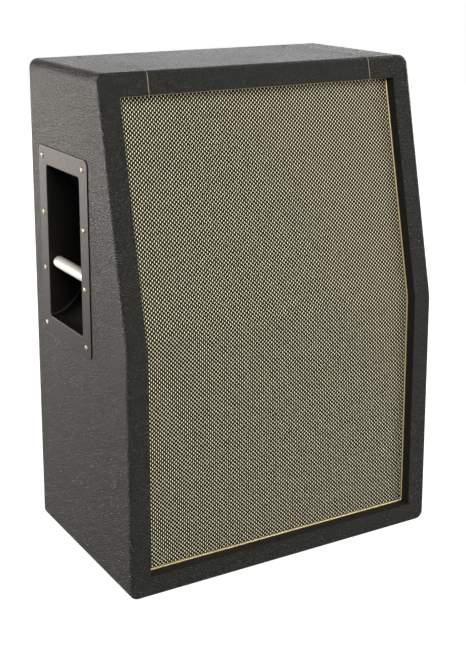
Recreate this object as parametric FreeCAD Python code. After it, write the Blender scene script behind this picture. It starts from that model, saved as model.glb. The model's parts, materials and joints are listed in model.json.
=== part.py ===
import FreeCAD, Part
import math
import os

# A slant-fronted guitar speaker cabinet with two drivers, one above the other.
# Millimetres, +Z up, the grille faces -Y and the rear panel +Y.
# The origin is on the floor, under the middle of the cabinet's box.

# Outside of the cabinet, over the covering and without the feet
# Its height follows from the two drivers that the front has room for
cabinet_width = 530.0
cabinet_depth = 327.0
slant_angle = 11.84
corner_radius = 13.5
front_edge_radius = 6.0
rear_edge_chamfer = 4.0

# Covering, boards and corner joints
covering_thickness = 1.0
panel_thickness = 18.0
panel_edge_chamfer = 3.0
finger_length = 60.0

# Front border, recess and what closes it
side_border = 32.0
top_border = 33.4
bottom_border = 32.0
grille_recess = 19.0
cloth_thickness = 1.0
cloth_clearance = 1.0
baffle_thickness = 15.0
baffle_clearance = 0.5
cleat_thickness = 18.0
cleat_reach = 12.0
piping_diameter = 3.0
piping_corner_cut = 4.0
piping_gap = 0.1

# Coloured strips in the two seams of the covering
seam_inset = 77.0
seam_trim_width = 2.0
seam_trim_rise = 0.5
seam_trim_return = 9.0

# Rear of the cabinet
rear_panel_inset = 10.0
rear_panel_thickness = 15.0
rear_panel_clearance = 1.0
rear_batten_size = 18.0
rear_brace_height = 40.0

# Recessed carrying handles, one in each side
handle_height = 477.0
handle_from_rear = 122.0
handle_plate_width = 178.0
handle_plate_height = 294.0
handle_plate_thickness = 1.5
handle_plate_corner_radius = 9.0
handle_screw_margin = 15.2
handle_screw_rows = 4
handle_mouth_width = 120.0
handle_mouth_height = 236.0
handle_pan_depth = 70.0
handle_pan_wall = 1.2
handle_cutout_clearance = 1.0
grip_drop = 33.0
grip_radius = 9.0
grip_end_radius = 5.0
grip_shoulder = 6.0
grip_inset = 5.0

# Screws
screw_hole_clearance = 0.3
handle_screw_head_radius = 4.4
handle_screw_head_height = 2.2
panel_screw_head_radius = 4.5
panel_screw_head_height = 2.4
screw_shank_radius = 2.0
handle_screw_length = 15.0
rear_screw_length = 28.0
baffle_screw_length = 27.0
baffle_screw_end_distance = 70.0
foot_screw_length = 18.0
jack_screw_length = 14.0
speaker_screw_length = 16.0

# Feet
foot_height = 14.0
foot_radius = 19.0
foot_tip_radius = 16.0
foot_recess_radius = 7.0
foot_floor = 6.0
foot_inset = 72.0

# Jack plate and its socket
jack_plate_height_above_base = 190.0
jack_plate_width = 80.0
jack_plate_height = 56.0
jack_plate_thickness = 2.0
jack_plate_corner_radius = 6.0
jack_plate_screw_margin = 7.0
jack_cutout_margin = 14.0
jack_bore_radius = 3.25
jack_bush_radius = 4.7
jack_bush_reach = 5.0
jack_hole_clearance = 0.3
jack_body_width = 20.0
jack_body_length = 24.0
jack_nut_across_flats = 13.0
jack_nut_thickness = 2.5

# Loudspeakers, sizes along and around the axis of each driver
speaker_frame_radius = 156.0
speaker_edge_clearance = 17.0
speaker_seat_width = 15.0
speaker_flange_width = 17.0
speaker_sheet = 2.0
speaker_screw_count = 4
speaker_screw_inset = 7.0
gasket_thickness = 3.0
gasket_inset = 11.0
gasket_width = 5.0
paper_thickness = 0.8
basket_depth = 60.0
basket_ledge_radius = 76.0
basket_ledge_width = 12.0
basket_cup_depth = 18.0
basket_cup_taper = 2.0
basket_seat_bore_radius = 30.0
basket_window_count = 6
basket_window_inset = 10.0
basket_spoke_width = 26.0
front_plate_radius = 60.0
front_plate_thickness = 8.0
magnet_radius = 78.0
magnet_bore_radius = 36.0
magnet_thickness = 20.0
back_plate_radius = 72.0
back_plate_thickness = 8.0
pole_radius = 21.5
pole_vent_radius = 5.0
coil_gap = 0.5
coil_thickness = 1.0
coil_overhang = 6.0
surround_width = 15.0
cone_edge_rise = 1.5
cone_depth = 49.0
soft_part_gap = 0.3
surround_wave = 3.5
spider_wave = 3.0
dust_cap_radius = 34.0
dust_cap_rise = 11.0
dust_cap_steps = 2

# Flat sides on round pieces, few enough to keep the model light
screw_flats = 6
foot_flats = 12
grip_flats = 16
grip_shoulder_steps = 2
bush_flats = 12
speaker_flats = 16
piping_flats = 8

# Places that follow from the sizes above
vector = FreeCAD.Vector
half_width = cabinet_width / 2
front = -cabinet_depth / 2
rear = cabinet_depth / 2
lean = math.radians(slant_angle)
front_half_length = 2 * (speaker_frame_radius + speaker_edge_clearance)
base = foot_height
opening_base = base + bottom_border
break_height = opening_base + front_half_length
opening_along = front_half_length
opening_top = break_height + opening_along * math.cos(lean)
top = opening_top + top_border
wall = covering_thickness + panel_thickness
inner_half_width = half_width - wall
inner_base = base + wall
inner_top = top - wall
baffle_front_depth = grille_recess + cloth_thickness
baffle_rear_depth = baffle_front_depth + baffle_thickness
rear_panel_face = rear - rear_panel_inset
rear_panel_front = rear_panel_face - rear_panel_thickness
rear_batten_front = rear_panel_front - rear_batten_size
opening_half_width = half_width - side_border
seam_x = half_width - seam_inset
far = cabinet_width + cabinet_depth + top

# Places along a driver's axis, from the back of the baffle and looking forward
speaker_hole_radius = speaker_frame_radius - speaker_seat_width
speaker_screw_circle_radius = speaker_frame_radius - speaker_screw_inset
gasket_outer_radius = speaker_frame_radius - gasket_inset
gasket_inner_radius = gasket_outer_radius - gasket_width
basket_wall_radius = speaker_frame_radius - speaker_flange_width
cone_radius = basket_wall_radius - surround_width
coil_outer_radius = pole_radius + coil_gap + coil_thickness
flange_z = -gasket_thickness - paper_thickness
ledge_z = flange_z - basket_depth
seat_z = ledge_z - basket_cup_depth
front_plate_z = seat_z - speaker_sheet
magnet_z = front_plate_z - front_plate_thickness
back_plate_z = magnet_z - magnet_thickness
cone_edge_z = flange_z + cone_edge_rise
cone_neck_z = cone_edge_z - cone_depth

# Limits for picking edges and faces by their direction and place
parallel = math.cos(math.radians(1))
facing = math.cos(math.radians(25))
touching = 1e-6


def box(x_range, y_range, z_range):
    """A block between the given limits."""
    low = vector(x_range[0], y_range[0], z_range[0])
    size = vector(x_range[1], y_range[1], z_range[1]) - low
    return Part.makeBox(size.x, size.y, size.z, low)


def across(outline, x_low, x_high):
    """A prism that runs along X, from an outline of (y, z) points."""
    points = [vector(x_low, y, z) for y, z in outline]
    face = Part.Face(Part.makePolygon(points + points[:1]))
    return face.extrude(vector(x_high - x_low, 0, 0))


def turned(outline, flats):
    """A body about Z with flat sides, from an outline of (radius, z) points."""
    step = 2 * math.pi / flats
    faces = []
    for (radius_a, z_a), (radius_b, z_b) in zip(outline, outline[1:] + outline[:1]):
        for index in range(flats):
            corners = []
            for radius, z, turn in (
                (radius_a, z_a, index),
                (radius_b, z_b, index),
                (radius_b, z_b, index + 1),
                (radius_a, z_a, index + 1),
            ):
                angle = (turn % flats - 0.5) * step
                point = vector(radius * math.cos(angle), radius * math.sin(angle), z)
                if not any(point.isEqual(other, touching) for other in corners):
                    corners.append(point)
            if len(corners) > 2:
                faces.append(Part.Face(Part.makePolygon(corners + corners[:1])))
    body = Part.makeSolid(Part.makeShell(faces)).removeSplitter()
    if body.Volume < 0:
        body.reverse()
    return body


def ring(outer_radius, inner_radius, z_low, z_high, flats):
    """A flat ring about Z."""
    outline = [
        (inner_radius, z_low),
        (outer_radius, z_low),
        (outer_radius, z_high),
        (inner_radius, z_high),
    ]
    return turned(outline, flats)


def rod(radius, z_low, z_high, flats):
    """A plain round bar about Z."""
    return turned([(0, z_low), (radius, z_low), (radius, z_high), (0, z_high)], flats)


def edges_along(shape, direction):
    """The straight edges of a shape that run along a direction."""
    found = []
    for edge in shape.Edges:
        if abs(edge.tangentAt(edge.FirstParameter).dot(direction)) > parallel:
            found.append(edge)
    return found


def set_at(shape, point, outward):
    """A copy of a piece modelled along Z, moved to the point and turned outward."""
    copy = shape.copy()
    turn = FreeCAD.Rotation(vector(0, 0, 1), outward)
    copy.Placement = FreeCAD.Placement(point, turn)
    return copy


def on_slant(along, depth):
    """The (y, z) of a point up the leaning front, at a depth square behind it."""
    y = front + along * math.sin(lean) + depth * math.cos(lean)
    z = break_height + along * math.cos(lean) - depth * math.sin(lean)
    return (y, z)


def on_break(depth):
    """The (y, z) where the two planes of the front meet, at a depth behind them."""
    return (front + depth, break_height - depth * math.tan(lean / 2))


def along_at(depth, height):
    """How far up the slant the plane at a depth passes a height."""
    return (height - break_height + depth * math.sin(lean)) / math.cos(lean)


def slant_at(depth, height):
    """The (y, z) of the leaning plane at a depth, where it passes a height."""
    return on_slant(along_at(depth, height), depth)


def faces_towards(shape, y_sign):
    """The faces that look along Y, or nearly so, to the given side."""
    found = []
    for face in shape.Faces:
        u_low, u_high, v_low, v_high = face.ParameterRange
        normal = face.normalAt((u_low + u_high) / 2, (v_low + v_high) / 2)
        if normal.y * y_sign > facing:
            found.append(face)
    return found


def rim_edges(shape, y_sign):
    """The edges that run round the front or the rear of a cabinet form."""
    faces = faces_towards(shape, y_sign)
    edges = [edge for face in faces for edge in face.Edges]
    return [edge for edge in edges if sum(edge.isSame(other) for other in edges) == 1]


def cabinet_block(inset):
    """The whole cabinet as one block with round corners, set in from its outside."""
    half = half_width - inset
    low = base + inset
    high = top - inset
    outline = [
        (front + inset, low),
        on_break(inset),
        slant_at(inset, high),
        (rear - inset, high),
        (rear - inset, low),
    ]
    block = across(outline, -half, half)
    return block.makeFillet(corner_radius - inset, edges_along(block, vector(0, 1, 0)))


def covered_block(inset):
    """The outside of the covering, rounded over at the front, bevelled at the rear."""
    block = cabinet_block(inset)
    block = block.makeFillet(front_edge_radius - inset, rim_edges(block, -1))
    return block.makeChamfer(rear_edge_chamfer - inset, rim_edges(block, 1))


def board_block():
    """The outside of the boards, with the chamfers that the covering goes over."""
    block = cabinet_block(covering_thickness)
    for y_sign in (-1, 1):
        block = block.makeChamfer(panel_edge_chamfer, rim_edges(block, y_sign))
    return block


def front_opening(margin):
    """The space in front of the grille, its head level; margin widens it into the border."""
    outline = [
        (front - side_border, opening_base - margin),
        (front + grille_recess, opening_base - margin),
        on_break(grille_recess),
        slant_at(grille_recess, opening_top + margin),
        slant_at(-side_border, opening_top + margin),
        on_break(-side_border),
    ]
    half = opening_half_width + margin
    return across(outline, -half, half)


def rear_opening(margin):
    """The space that the rear panel goes into; margin narrows it on each side."""
    return box(
        (margin - inner_half_width, inner_half_width - margin),
        (rear_panel_front, rear + far),
        (inner_base + margin, inner_top - margin),
    )


def handle_frame(side):
    """Where a handle modelled at the origin, facing +X, goes in a side."""
    place = vector(side * half_width, rear - handle_from_rear, base + handle_height)
    turn = FreeCAD.Rotation(vector(1, 0, 0), vector(side, 0, 0))
    return FreeCAD.Placement(place, turn)


def side_cutout(side):
    """The hole in a side panel and its covering that takes a handle's pan."""
    margin = handle_pan_wall + handle_cutout_clearance
    half_y = handle_mouth_width / 2 + margin
    half_z = handle_mouth_height / 2 + margin
    hole = box((-half_width, far), (-half_y, half_y), (-half_z, half_z))
    hole.Placement = handle_frame(side)
    return hole


def make_coverings():
    """The covering, in the four pieces that meet at the seams, and the seam strips."""
    core = board_block().cut(front_opening(covering_thickness)).cut(rear_opening(0))
    hollow = front_opening(0).fuse(rear_opening(covering_thickness))
    skin = covered_block(0).cut(hollow).cut(core)
    raised = covered_block(-seam_trim_rise).cut(hollow).cut(core)
    strip_end = slant_at(0, top)[0] + seam_trim_return
    strips = []
    for side in (-1, 1):
        limits = sorted((side * seam_x, side * (seam_x + seam_trim_width)))
        zone = box(limits, (front - far, strip_end), (break_height, far))
        strips.append(raised.common(zone))
        skin = skin.cut(zone)
    everywhere = (-far, far)
    middle = (-seam_x, seam_x)
    left = skin.common(box((-far, -seam_x), everywhere, everywhere))
    right = skin.common(box((seam_x, far), everywhere, everywhere))
    return {
        "left_covering": left.cut(side_cutout(-1)),
        "right_covering": right.cut(side_cutout(1)),
        "top_covering": skin.common(box(middle, everywhere, (break_height, far))),
        "bottom_covering": skin.common(box(middle, everywhere, (-far, break_height))),
        "seam_strips": Part.makeCompound(strips),
    }


def finger_slabs(parity, x_range, z_range):
    """Every second slice of the corner joints, counted from the rear."""
    count = math.ceil(cabinet_depth / finger_length)
    slabs = []
    for index in range(parity, count, 2):
        high = rear - index * finger_length
        slabs.append(box(x_range, (high - finger_length, high), z_range))
    return Part.makeCompound(slabs)


def make_panels():
    """The four boards of the shell, joined by fingers at the corners."""
    everywhere = (-far, far)
    below = (-far, inner_base)
    above = (inner_top, far)
    inside = (-inner_half_width, inner_half_width)
    shell = board_block().cut(box(inside, everywhere, (inner_base, inner_top)))
    panels = {}
    for name, side in (("left_panel", -1), ("right_panel", 1)):
        region = sorted((side * inner_half_width, side * far))
        board = shell.common(box(region, everywhere, everywhere))
        for z_range in (below, above):
            board = board.cut(finger_slabs(1, everywhere, z_range))
        panels[name] = board.cut(side_cutout(side))
    for name, z_range in (("bottom_panel", below), ("top_panel", above)):
        board = shell.common(box(everywhere, everywhere, z_range))
        for side in (-1, 1):
            region = sorted((side * inner_half_width, side * far))
            board = board.cut(finger_slabs(0, region, everywhere))
        panels[name] = board
    return panels


def make_front_battens():
    """The strips glued inside the front edge, which the baffles are screwed to."""
    near = covering_thickness
    deep = grille_recess
    inner = opening_half_width + covering_thickness
    side_outline = [
        (front + near, inner_base),
        on_break(near),
        slant_at(near, inner_top),
        slant_at(deep, inner_top),
        on_break(deep),
        (front + deep, inner_base),
    ]
    lintel = opening_top + covering_thickness
    top_outline = [
        slant_at(near, lintel),
        slant_at(near, inner_top),
        slant_at(deep, inner_top),
        slant_at(deep, lintel),
    ]
    sill_depth = (front + near, front + deep)
    sill_height = (inner_base, opening_base - covering_thickness)
    return {
        "left_front_batten": across(side_outline, -inner_half_width, -inner),
        "right_front_batten": across(side_outline, inner, inner_half_width),
        "top_front_batten": across(top_outline, -inner, inner),
        "bottom_front_batten": box((-inner, inner), sill_depth, sill_height),
    }


def speaker_places():
    """The placement of each driver: its axis looks out through the grille."""
    lower_z = (opening_base + break_height) / 2
    lower = vector(0, front + baffle_rear_depth, lower_z)
    upper = vector(0, *on_slant(opening_along / 2, baffle_rear_depth))
    ahead = vector(0, -1, 0)
    ahead_and_up = vector(0, -math.cos(lean), math.sin(lean))
    axis = vector(0, 0, 1)
    return {
        "upper": FreeCAD.Placement(upper, FreeCAD.Rotation(axis, ahead_and_up)),
        "lower": FreeCAD.Placement(lower, FreeCAD.Rotation(axis, ahead)),
    }


def make_baffles():
    """The two speaker boards, mitred together, with a cleat across their joint."""
    half = inner_half_width - baffle_clearance
    near = baffle_front_depth
    deep = baffle_rear_depth
    along_top = along_at(near, inner_top - baffle_clearance)
    bottom = inner_base + baffle_clearance
    upper = [
        on_break(near),
        on_slant(along_top, near),
        on_slant(along_top, deep),
        on_break(deep),
    ]
    lower = [
        (front + near, bottom),
        on_break(near),
        on_break(deep),
        (front + deep, bottom),
    ]
    boards = {"upper": across(upper, -half, half), "lower": across(lower, -half, half)}
    parts = {}
    for name, place in speaker_places().items():
        hole = rod(speaker_hole_radius, 0, baffle_thickness, speaker_flats)
        hole.Placement = place
        parts[name + "_baffle"] = boards[name].cut(hole)
    behind = deep + cleat_thickness
    foot_of_cleat = on_break(deep)[1] - cleat_reach
    cleat = [
        (front + deep, foot_of_cleat),
        on_break(deep),
        on_slant(cleat_reach, deep),
        on_slant(cleat_reach, behind),
        on_break(behind),
        (front + behind, foot_of_cleat),
    ]
    parts["baffle_joint_cleat"] = across(cleat, -inner_half_width, inner_half_width)
    return parts


def piping_path():
    """The line of the cord round the grille, its corners cut off."""
    edge = piping_diameter / 2 + piping_gap
    depth = grille_recess - edge
    side = opening_half_width - edge
    low = opening_base + edge
    high = along_at(depth, opening_top - edge)
    cut = piping_corner_cut
    half_loop = [
        vector(side - cut, front + depth, low),
        vector(side, front + depth, low + cut),
        vector(side, *on_break(depth)),
        vector(side, *on_slant(high - cut, depth)),
        vector(side - cut, *on_slant(high, depth)),
    ]
    return half_loop + [vector(-p.x, p.y, p.z) for p in reversed(half_loop)]


def make_grille():
    """The cloth, clamped between battens and baffles, and the cord round its edge."""
    half = inner_half_width - cloth_clearance
    near = grille_recess
    deep = baffle_front_depth
    bottom = inner_base + cloth_clearance
    along_top = along_at(near, inner_top - cloth_clearance)
    outline = [
        (front + near, bottom),
        on_break(near),
        on_slant(along_top, near),
        on_slant(along_top, deep),
        on_break(deep),
        (front + deep, bottom),
    ]
    corners = piping_path()
    start = (corners[0] + corners[-1]) / 2
    path = Part.makePolygon([start] + corners + [start])
    section = []
    for index in range(piping_flats + 1):
        angle = 2 * math.pi * (index + 0.5) / piping_flats
        radius = piping_diameter / 2
        offset = vector(0, radius * math.cos(angle), radius * math.sin(angle))
        section.append(start + offset)
    mitred = 1
    piping = path.makePipeShell([Part.makePolygon(section)], True, False, mitred)
    return {
        "grille_cloth": across(outline, -half, half),
        "grille_piping": piping,
    }


def make_rear():
    """The rear panel, the battens that it closes against and the brace between."""
    gap = covering_thickness + rear_panel_clearance
    half = inner_half_width - gap
    depth = (rear_panel_front, rear_panel_face)
    panel = box((-half, half), depth, (inner_base + gap, inner_top - gap))
    hole_half = jack_plate_width / 2 - jack_cutout_margin
    hole_rise = jack_plate_height / 2 - jack_cutout_margin
    jack_z = base + jack_plate_height_above_base
    hole = box((-hole_half, hole_half), depth, (jack_z - hole_rise, jack_z + hole_rise))
    batten_depth = (rear_batten_front, rear_panel_front)
    post = inner_half_width - rear_batten_size
    bars = [
        box((-inner_half_width, -post), batten_depth, (inner_base, inner_top)),
        box((post, inner_half_width), batten_depth, (inner_base, inner_top)),
        box((-post, post), batten_depth, (inner_base, inner_base + rear_batten_size)),
        box((-post, post), batten_depth, (inner_top - rear_batten_size, inner_top)),
    ]
    middle = (inner_base + inner_top) / 2
    rise = rear_brace_height / 2
    brace = box((-post, post), batten_depth, (middle - rise, middle + rise))
    return {
        "rear_panel": panel.cut(hole),
        "rear_battens": Part.makeCompound(bars),
        "rear_brace": brace,
    }


def half_barrel(chord, depth, width):
    """A trough with an elliptical floor, its mouth on the plane X = 0."""
    half = chord / 2
    end = -width / 2
    centre = vector(0, end, 0)
    ellipse = Part.Ellipse(vector(0, end, half), vector(-depth, end, 0), centre)
    floor = Part.ArcOfEllipse(ellipse, 0, math.pi).toShape()
    mouth = Part.makeLine(vector(0, end, -half), vector(0, end, half))
    return Part.Face(Part.Wire([floor, mouth])).extrude(vector(0, width, 0))


def handle_screw_spots():
    """Where the screws go on a handle's plate, from its centre."""
    y = handle_plate_width / 2 - handle_screw_margin
    top_row = handle_plate_height / 2 - handle_screw_margin
    step = 2 * top_row / (handle_screw_rows - 1)
    rows = [top_row - index * step for index in range(handle_screw_rows)]
    face = handle_plate_thickness
    return [vector(face, side * y, z) for side in (-1, 1) for z in rows]


def screw_hole(thickness):
    """A clearance hole for a screw, down from Z = 0 through a thickness."""
    return rod(screw_shank_radius + screw_hole_clearance, -thickness, 0, screw_flats)


def handle_dish():
    """The pressed plate of a handle with its deep-drawn pan, face towards +X."""
    half_y = handle_plate_width / 2
    half_z = handle_plate_height / 2
    plate = box((0, handle_plate_thickness), (-half_y, half_y), (-half_z, half_z))
    corners = edges_along(plate, vector(1, 0, 0))
    plate = plate.makeFillet(handle_plate_corner_radius, corners)
    outer = half_barrel(
        handle_mouth_height + 2 * handle_pan_wall,
        handle_pan_depth + handle_pan_wall,
        handle_mouth_width + 2 * handle_pan_wall,
    )
    hollow = half_barrel(handle_mouth_height, handle_pan_depth, handle_mouth_width)
    half_mouth = handle_mouth_width / 2
    half_rise = handle_mouth_height / 2
    mouth = box(
        (0, handle_plate_thickness), (-half_mouth, half_mouth), (-half_rise, half_rise)
    )
    dish = plate.fuse(outer).cut(hollow).cut(mouth)
    hole = screw_hole(handle_plate_thickness)
    for spot in handle_screw_spots():
        dish = dish.cut(set_at(hole, spot, vector(1, 0, 0)))
    return dish.removeSplitter()


def grip_bar():
    """The round bar of a handle, rounded off where it meets the end walls of the pan."""
    half = handle_mouth_width / 2
    swell = grip_radius - grip_end_radius
    shoulder = []
    for index in range(grip_shoulder_steps + 1):
        angle = math.pi / 2 * index / grip_shoulder_steps
        z = half - grip_shoulder * (1 - math.cos(angle))
        shoulder.append((grip_end_radius + swell * math.sin(angle), z))
    far_shoulder = [(radius, -z) for radius, z in reversed(shoulder)]
    bar = turned([(0, half)] + shoulder + far_shoulder + [(0, -half)], grip_flats)
    centre_x = handle_plate_thickness - grip_inset - grip_radius
    return set_at(bar, vector(centre_x, 0, -grip_drop), vector(0, 1, 0))


def round_head_screw(length):
    """A round-headed wood screw along Z, its head above Z = 0."""
    brow = handle_screw_head_radius * math.cos(math.pi / 4)
    outline = [
        (0, handle_screw_head_height),
        (brow, handle_screw_head_height * math.sin(math.pi / 4)),
        (handle_screw_head_radius, 0),
        (screw_shank_radius, 0),
        (0, -length),
    ]
    return turned(outline, screw_flats)


def low_head_screw(length):
    """A wood screw along Z with a low conical head above Z = 0."""
    outline = [
        (0, panel_screw_head_height),
        (screw_shank_radius, panel_screw_head_height),
        (panel_screw_head_radius, 0),
        (screw_shank_radius, 0),
        (0, -length),
    ]
    return turned(outline, screw_flats)


def make_handles():
    """Both handles: the dish, its grip and its screws."""
    screw = round_head_screw(handle_screw_length)
    spots = handle_screw_spots()
    pieces = {
        "handle_dish": handle_dish(),
        "handle_grip": grip_bar(),
        "handle_screws": Part.makeCompound(
            [set_at(screw, spot, vector(1, 0, 0)) for spot in spots]
        ),
    }
    parts = {}
    for name, side in (("left", -1), ("right", 1)):
        for piece, shape in pieces.items():
            copy = shape.copy()
            copy.Placement = handle_frame(side).multiply(shape.Placement)
            parts[name + "_" + piece] = copy
    return parts


def make_rear_screws():
    """The screws of the rear panel, into the middle of the battens and the brace."""
    x = inner_half_width - rear_batten_size / 2
    low = inner_base + rear_batten_size / 2
    high = inner_top - rear_batten_size / 2
    heights = (low, (low + high) / 2, high)
    screw = low_head_screw(rear_screw_length)
    screws = []
    for spot_x in (-x, 0, x):
        for spot_z in heights:
            point = vector(spot_x, rear_panel_face, spot_z)
            screws.append(set_at(screw, point, vector(0, 1, 0)))
    return {"rear_panel_screws": Part.makeCompound(screws)}


def make_baffle_screws():
    """The screws that hold the baffles to the side battens, from behind."""
    middle_of_batten = (inner_half_width + opening_half_width + covering_thickness) / 2
    screw = low_head_screw(baffle_screw_length)
    inset = baffle_screw_end_distance
    depth = baffle_rear_depth
    behind = vector(0, 1, 0)
    behind_and_down = vector(0, math.cos(lean), -math.sin(lean))
    screws = []
    for x in (-middle_of_batten, middle_of_batten):
        for z in (inner_base + inset, break_height - inset):
            screws.append(set_at(screw, vector(x, front + depth, z), behind))
        for along in (inset, opening_along - inset):
            point = vector(x, *on_slant(along, depth))
            screws.append(set_at(screw, point, behind_and_down))
    return {"baffle_screws": Part.makeCompound(screws)}


def make_feet():
    """The four rubber feet and the screw up the middle of each."""
    floor = base - foot_floor
    hole_radius = screw_shank_radius + screw_hole_clearance
    outline = [
        (foot_radius, base),
        (foot_tip_radius, 0),
        (foot_recess_radius, 0),
        (foot_recess_radius, floor),
        (hole_radius, floor),
        (hole_radius, base),
    ]
    foot = turned(outline, foot_flats)
    screw = low_head_screw(foot_screw_length)
    feet = []
    screws = []
    for x in (foot_inset - half_width, half_width - foot_inset):
        for y in (front + foot_inset, rear - foot_inset):
            copy = foot.copy()
            copy.translate(vector(x, y, 0))
            feet.append(copy)
            screws.append(set_at(screw, vector(x, y, floor), vector(0, 0, -1)))
    return {
        "rubber_feet": Part.makeCompound(feet),
        "foot_screws": Part.makeCompound(screws),
    }


def jack_socket():
    """The socket, along Z from the plate's inner face: body behind, bush through it."""
    half = jack_body_width / 2
    body = box((-half, half), (-half, half), (-jack_body_length, 0))
    reach = jack_plate_thickness + jack_bush_reach
    bush = rod(jack_bush_radius, 0, reach, bush_flats)
    start = vector(0, 0, -jack_body_length)
    bore = Part.makeCylinder(jack_bore_radius, jack_body_length + reach, start)
    return body.fuse(bush).cut(bore)


def jack_nut():
    """The thin hexagon nut on the bush, standing on Z = 0."""
    sides = 6
    corner_radius_of_nut = jack_nut_across_flats / 2 / math.cos(math.pi / sides)
    nut = rod(corner_radius_of_nut, 0, jack_nut_thickness, sides)
    hole_radius = jack_bush_radius + jack_hole_clearance
    return nut.cut(rod(hole_radius, 0, jack_nut_thickness, bush_flats))


def make_jack():
    """The jack plate over its hole in the rear panel, its socket, nut and screws."""
    back = vector(0, 1, 0)
    inner_face = vector(0, rear_panel_face, base + jack_plate_height_above_base)
    outer_face = inner_face + back * jack_plate_thickness
    half_x = jack_plate_width / 2
    half_z = jack_plate_height / 2
    z_range = (inner_face.z - half_z, inner_face.z + half_z)
    plate = box((-half_x, half_x), (inner_face.y, outer_face.y), z_range)
    plate = plate.makeFillet(jack_plate_corner_radius, edges_along(plate, back))
    hole_radius = jack_bush_radius + jack_hole_clearance
    bush_way = rod(hole_radius, 0, jack_plate_thickness, bush_flats)
    plate = plate.cut(set_at(bush_way, inner_face, back))
    screw = low_head_screw(jack_screw_length)
    screw_way = screw_hole(jack_plate_thickness)
    x = half_x - jack_plate_screw_margin
    rise = half_z - jack_plate_screw_margin
    screws = []
    for spot_x in (-x, x):
        for spot_rise in (-rise, rise):
            point = outer_face + vector(spot_x, 0, spot_rise)
            plate = plate.cut(set_at(screw_way, point, back))
            screws.append(set_at(screw, point, back))
    return {
        "jack_plate": plate,
        "jack_socket": set_at(jack_socket(), inner_face, back),
        "jack_nut": set_at(jack_nut(), outer_face, back),
        "jack_plate_screws": Part.makeCompound(screws),
    }


def speaker_screw_spots(z):
    """Where a driver's fixing screws go round its axis, at a height along it."""
    spots = []
    for index in range(speaker_screw_count):
        angle = 2 * math.pi * (index + 0.5) / speaker_screw_count
        x = speaker_screw_circle_radius * math.cos(angle)
        y = speaker_screw_circle_radius * math.sin(angle)
        spots.append(vector(x, y, z))
    return spots


def speaker_basket():
    """The pressed frame: flange, spoked wall, ledge for the spider and magnet seat."""
    sheet = speaker_sheet
    ledge_inner = basket_ledge_radius - basket_ledge_width
    cup_radius = ledge_inner - basket_cup_taper
    outline = [
        (speaker_frame_radius, flange_z),
        (basket_wall_radius, flange_z),
        (basket_ledge_radius, ledge_z),
        (ledge_inner, ledge_z),
        (cup_radius, seat_z),
        (basket_seat_bore_radius, seat_z),
        (basket_seat_bore_radius, seat_z - sheet),
        (cup_radius + sheet, seat_z - sheet),
        (ledge_inner + sheet, ledge_z - sheet),
        (basket_ledge_radius + sheet, ledge_z - sheet),
        (basket_wall_radius + sheet, flange_z - sheet),
        (speaker_frame_radius, flange_z - sheet),
    ]
    basket = turned(outline, speaker_flats)
    inner = basket_ledge_radius + basket_window_inset
    outer = basket_wall_radius - basket_window_inset
    pitch = math.pi / basket_window_count
    inner_half = inner * math.tan(pitch) - basket_spoke_width / 2
    outer_half = outer * math.tan(pitch) - basket_spoke_width / 2
    plan = [
        vector(inner, -inner_half, ledge_z),
        vector(outer, -outer_half, ledge_z),
        vector(outer, outer_half, ledge_z),
        vector(inner, inner_half, ledge_z),
    ]
    window = Part.Face(Part.makePolygon(plan + plan[:1]))
    window = window.extrude(vector(0, 0, basket_depth))
    for index in range(basket_window_count):
        copy = window.copy()
        turn = 360 * index / basket_window_count
        copy.rotate(vector(0, 0, 0), vector(0, 0, 1), turn)
        basket = basket.cut(copy)
    hole = screw_hole(sheet)
    for spot in speaker_screw_spots(flange_z - sheet):
        basket = basket.cut(set_at(hole, spot, vector(0, 0, -1)))
    return basket


def folded_ring(points):
    """A thin folded ring of paper or cloth; the points are on its lower face."""
    upper = [(radius, z + paper_thickness) for radius, z in reversed(points)]
    return turned(points + upper, speaker_flats)


def speaker_surround():
    """The folded edge that joins the cone to the flange, at rest."""
    edge_inner = cone_radius + soft_part_gap
    fold = (basket_wall_radius - edge_inner) / 3
    return folded_ring(
        [
            (gasket_outer_radius, flange_z),
            (basket_wall_radius, flange_z),
            (basket_wall_radius - fold, flange_z + surround_wave),
            (basket_wall_radius - 2 * fold, flange_z),
            (edge_inner, cone_edge_z),
        ]
    )


def speaker_spider():
    """The corrugated cloth disc that centres the voice coil, at rest."""
    rim_inner = basket_ledge_radius - basket_ledge_width
    spider_inner = coil_outer_radius + soft_part_gap
    fold = (rim_inner - spider_inner) / 3
    return folded_ring(
        [
            (basket_ledge_radius - paper_thickness, ledge_z),
            (rim_inner, ledge_z),
            (rim_inner - fold, ledge_z + spider_wave),
            (rim_inner - 2 * fold, ledge_z - spider_wave),
            (spider_inner, ledge_z),
        ]
    )


def speaker_dust_cap():
    """The domed cap over the middle of the cone."""
    slope = cone_depth / (cone_radius - coil_outer_radius)
    foot_z = cone_neck_z + (dust_cap_radius - coil_outer_radius) * slope + paper_thickness
    bowl = (dust_cap_radius**2 + dust_cap_rise**2) / (2 * dust_cap_rise)
    centre_z = foot_z + dust_cap_rise - bowl
    outline = []
    for radius in (bowl, bowl - paper_thickness):
        widest = math.acos((foot_z - centre_z) / radius)
        arc = []
        for index in range(dust_cap_steps + 1):
            angle = widest * index / dust_cap_steps
            z = centre_z + radius * math.cos(angle)
            arc.append((radius * math.sin(angle), z))
        outline = outline[::-1] + arc
    return turned(outline, speaker_flats)


def speaker_back_plate():
    """The rear plate of the magnet with the vented pole that the coil goes round."""
    outline = [
        (pole_vent_radius, back_plate_z - back_plate_thickness),
        (back_plate_radius, back_plate_z - back_plate_thickness),
        (back_plate_radius, back_plate_z),
        (pole_radius, back_plate_z),
        (pole_radius, front_plate_z),
        (pole_vent_radius, front_plate_z),
    ]
    return turned(outline, speaker_flats)


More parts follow.
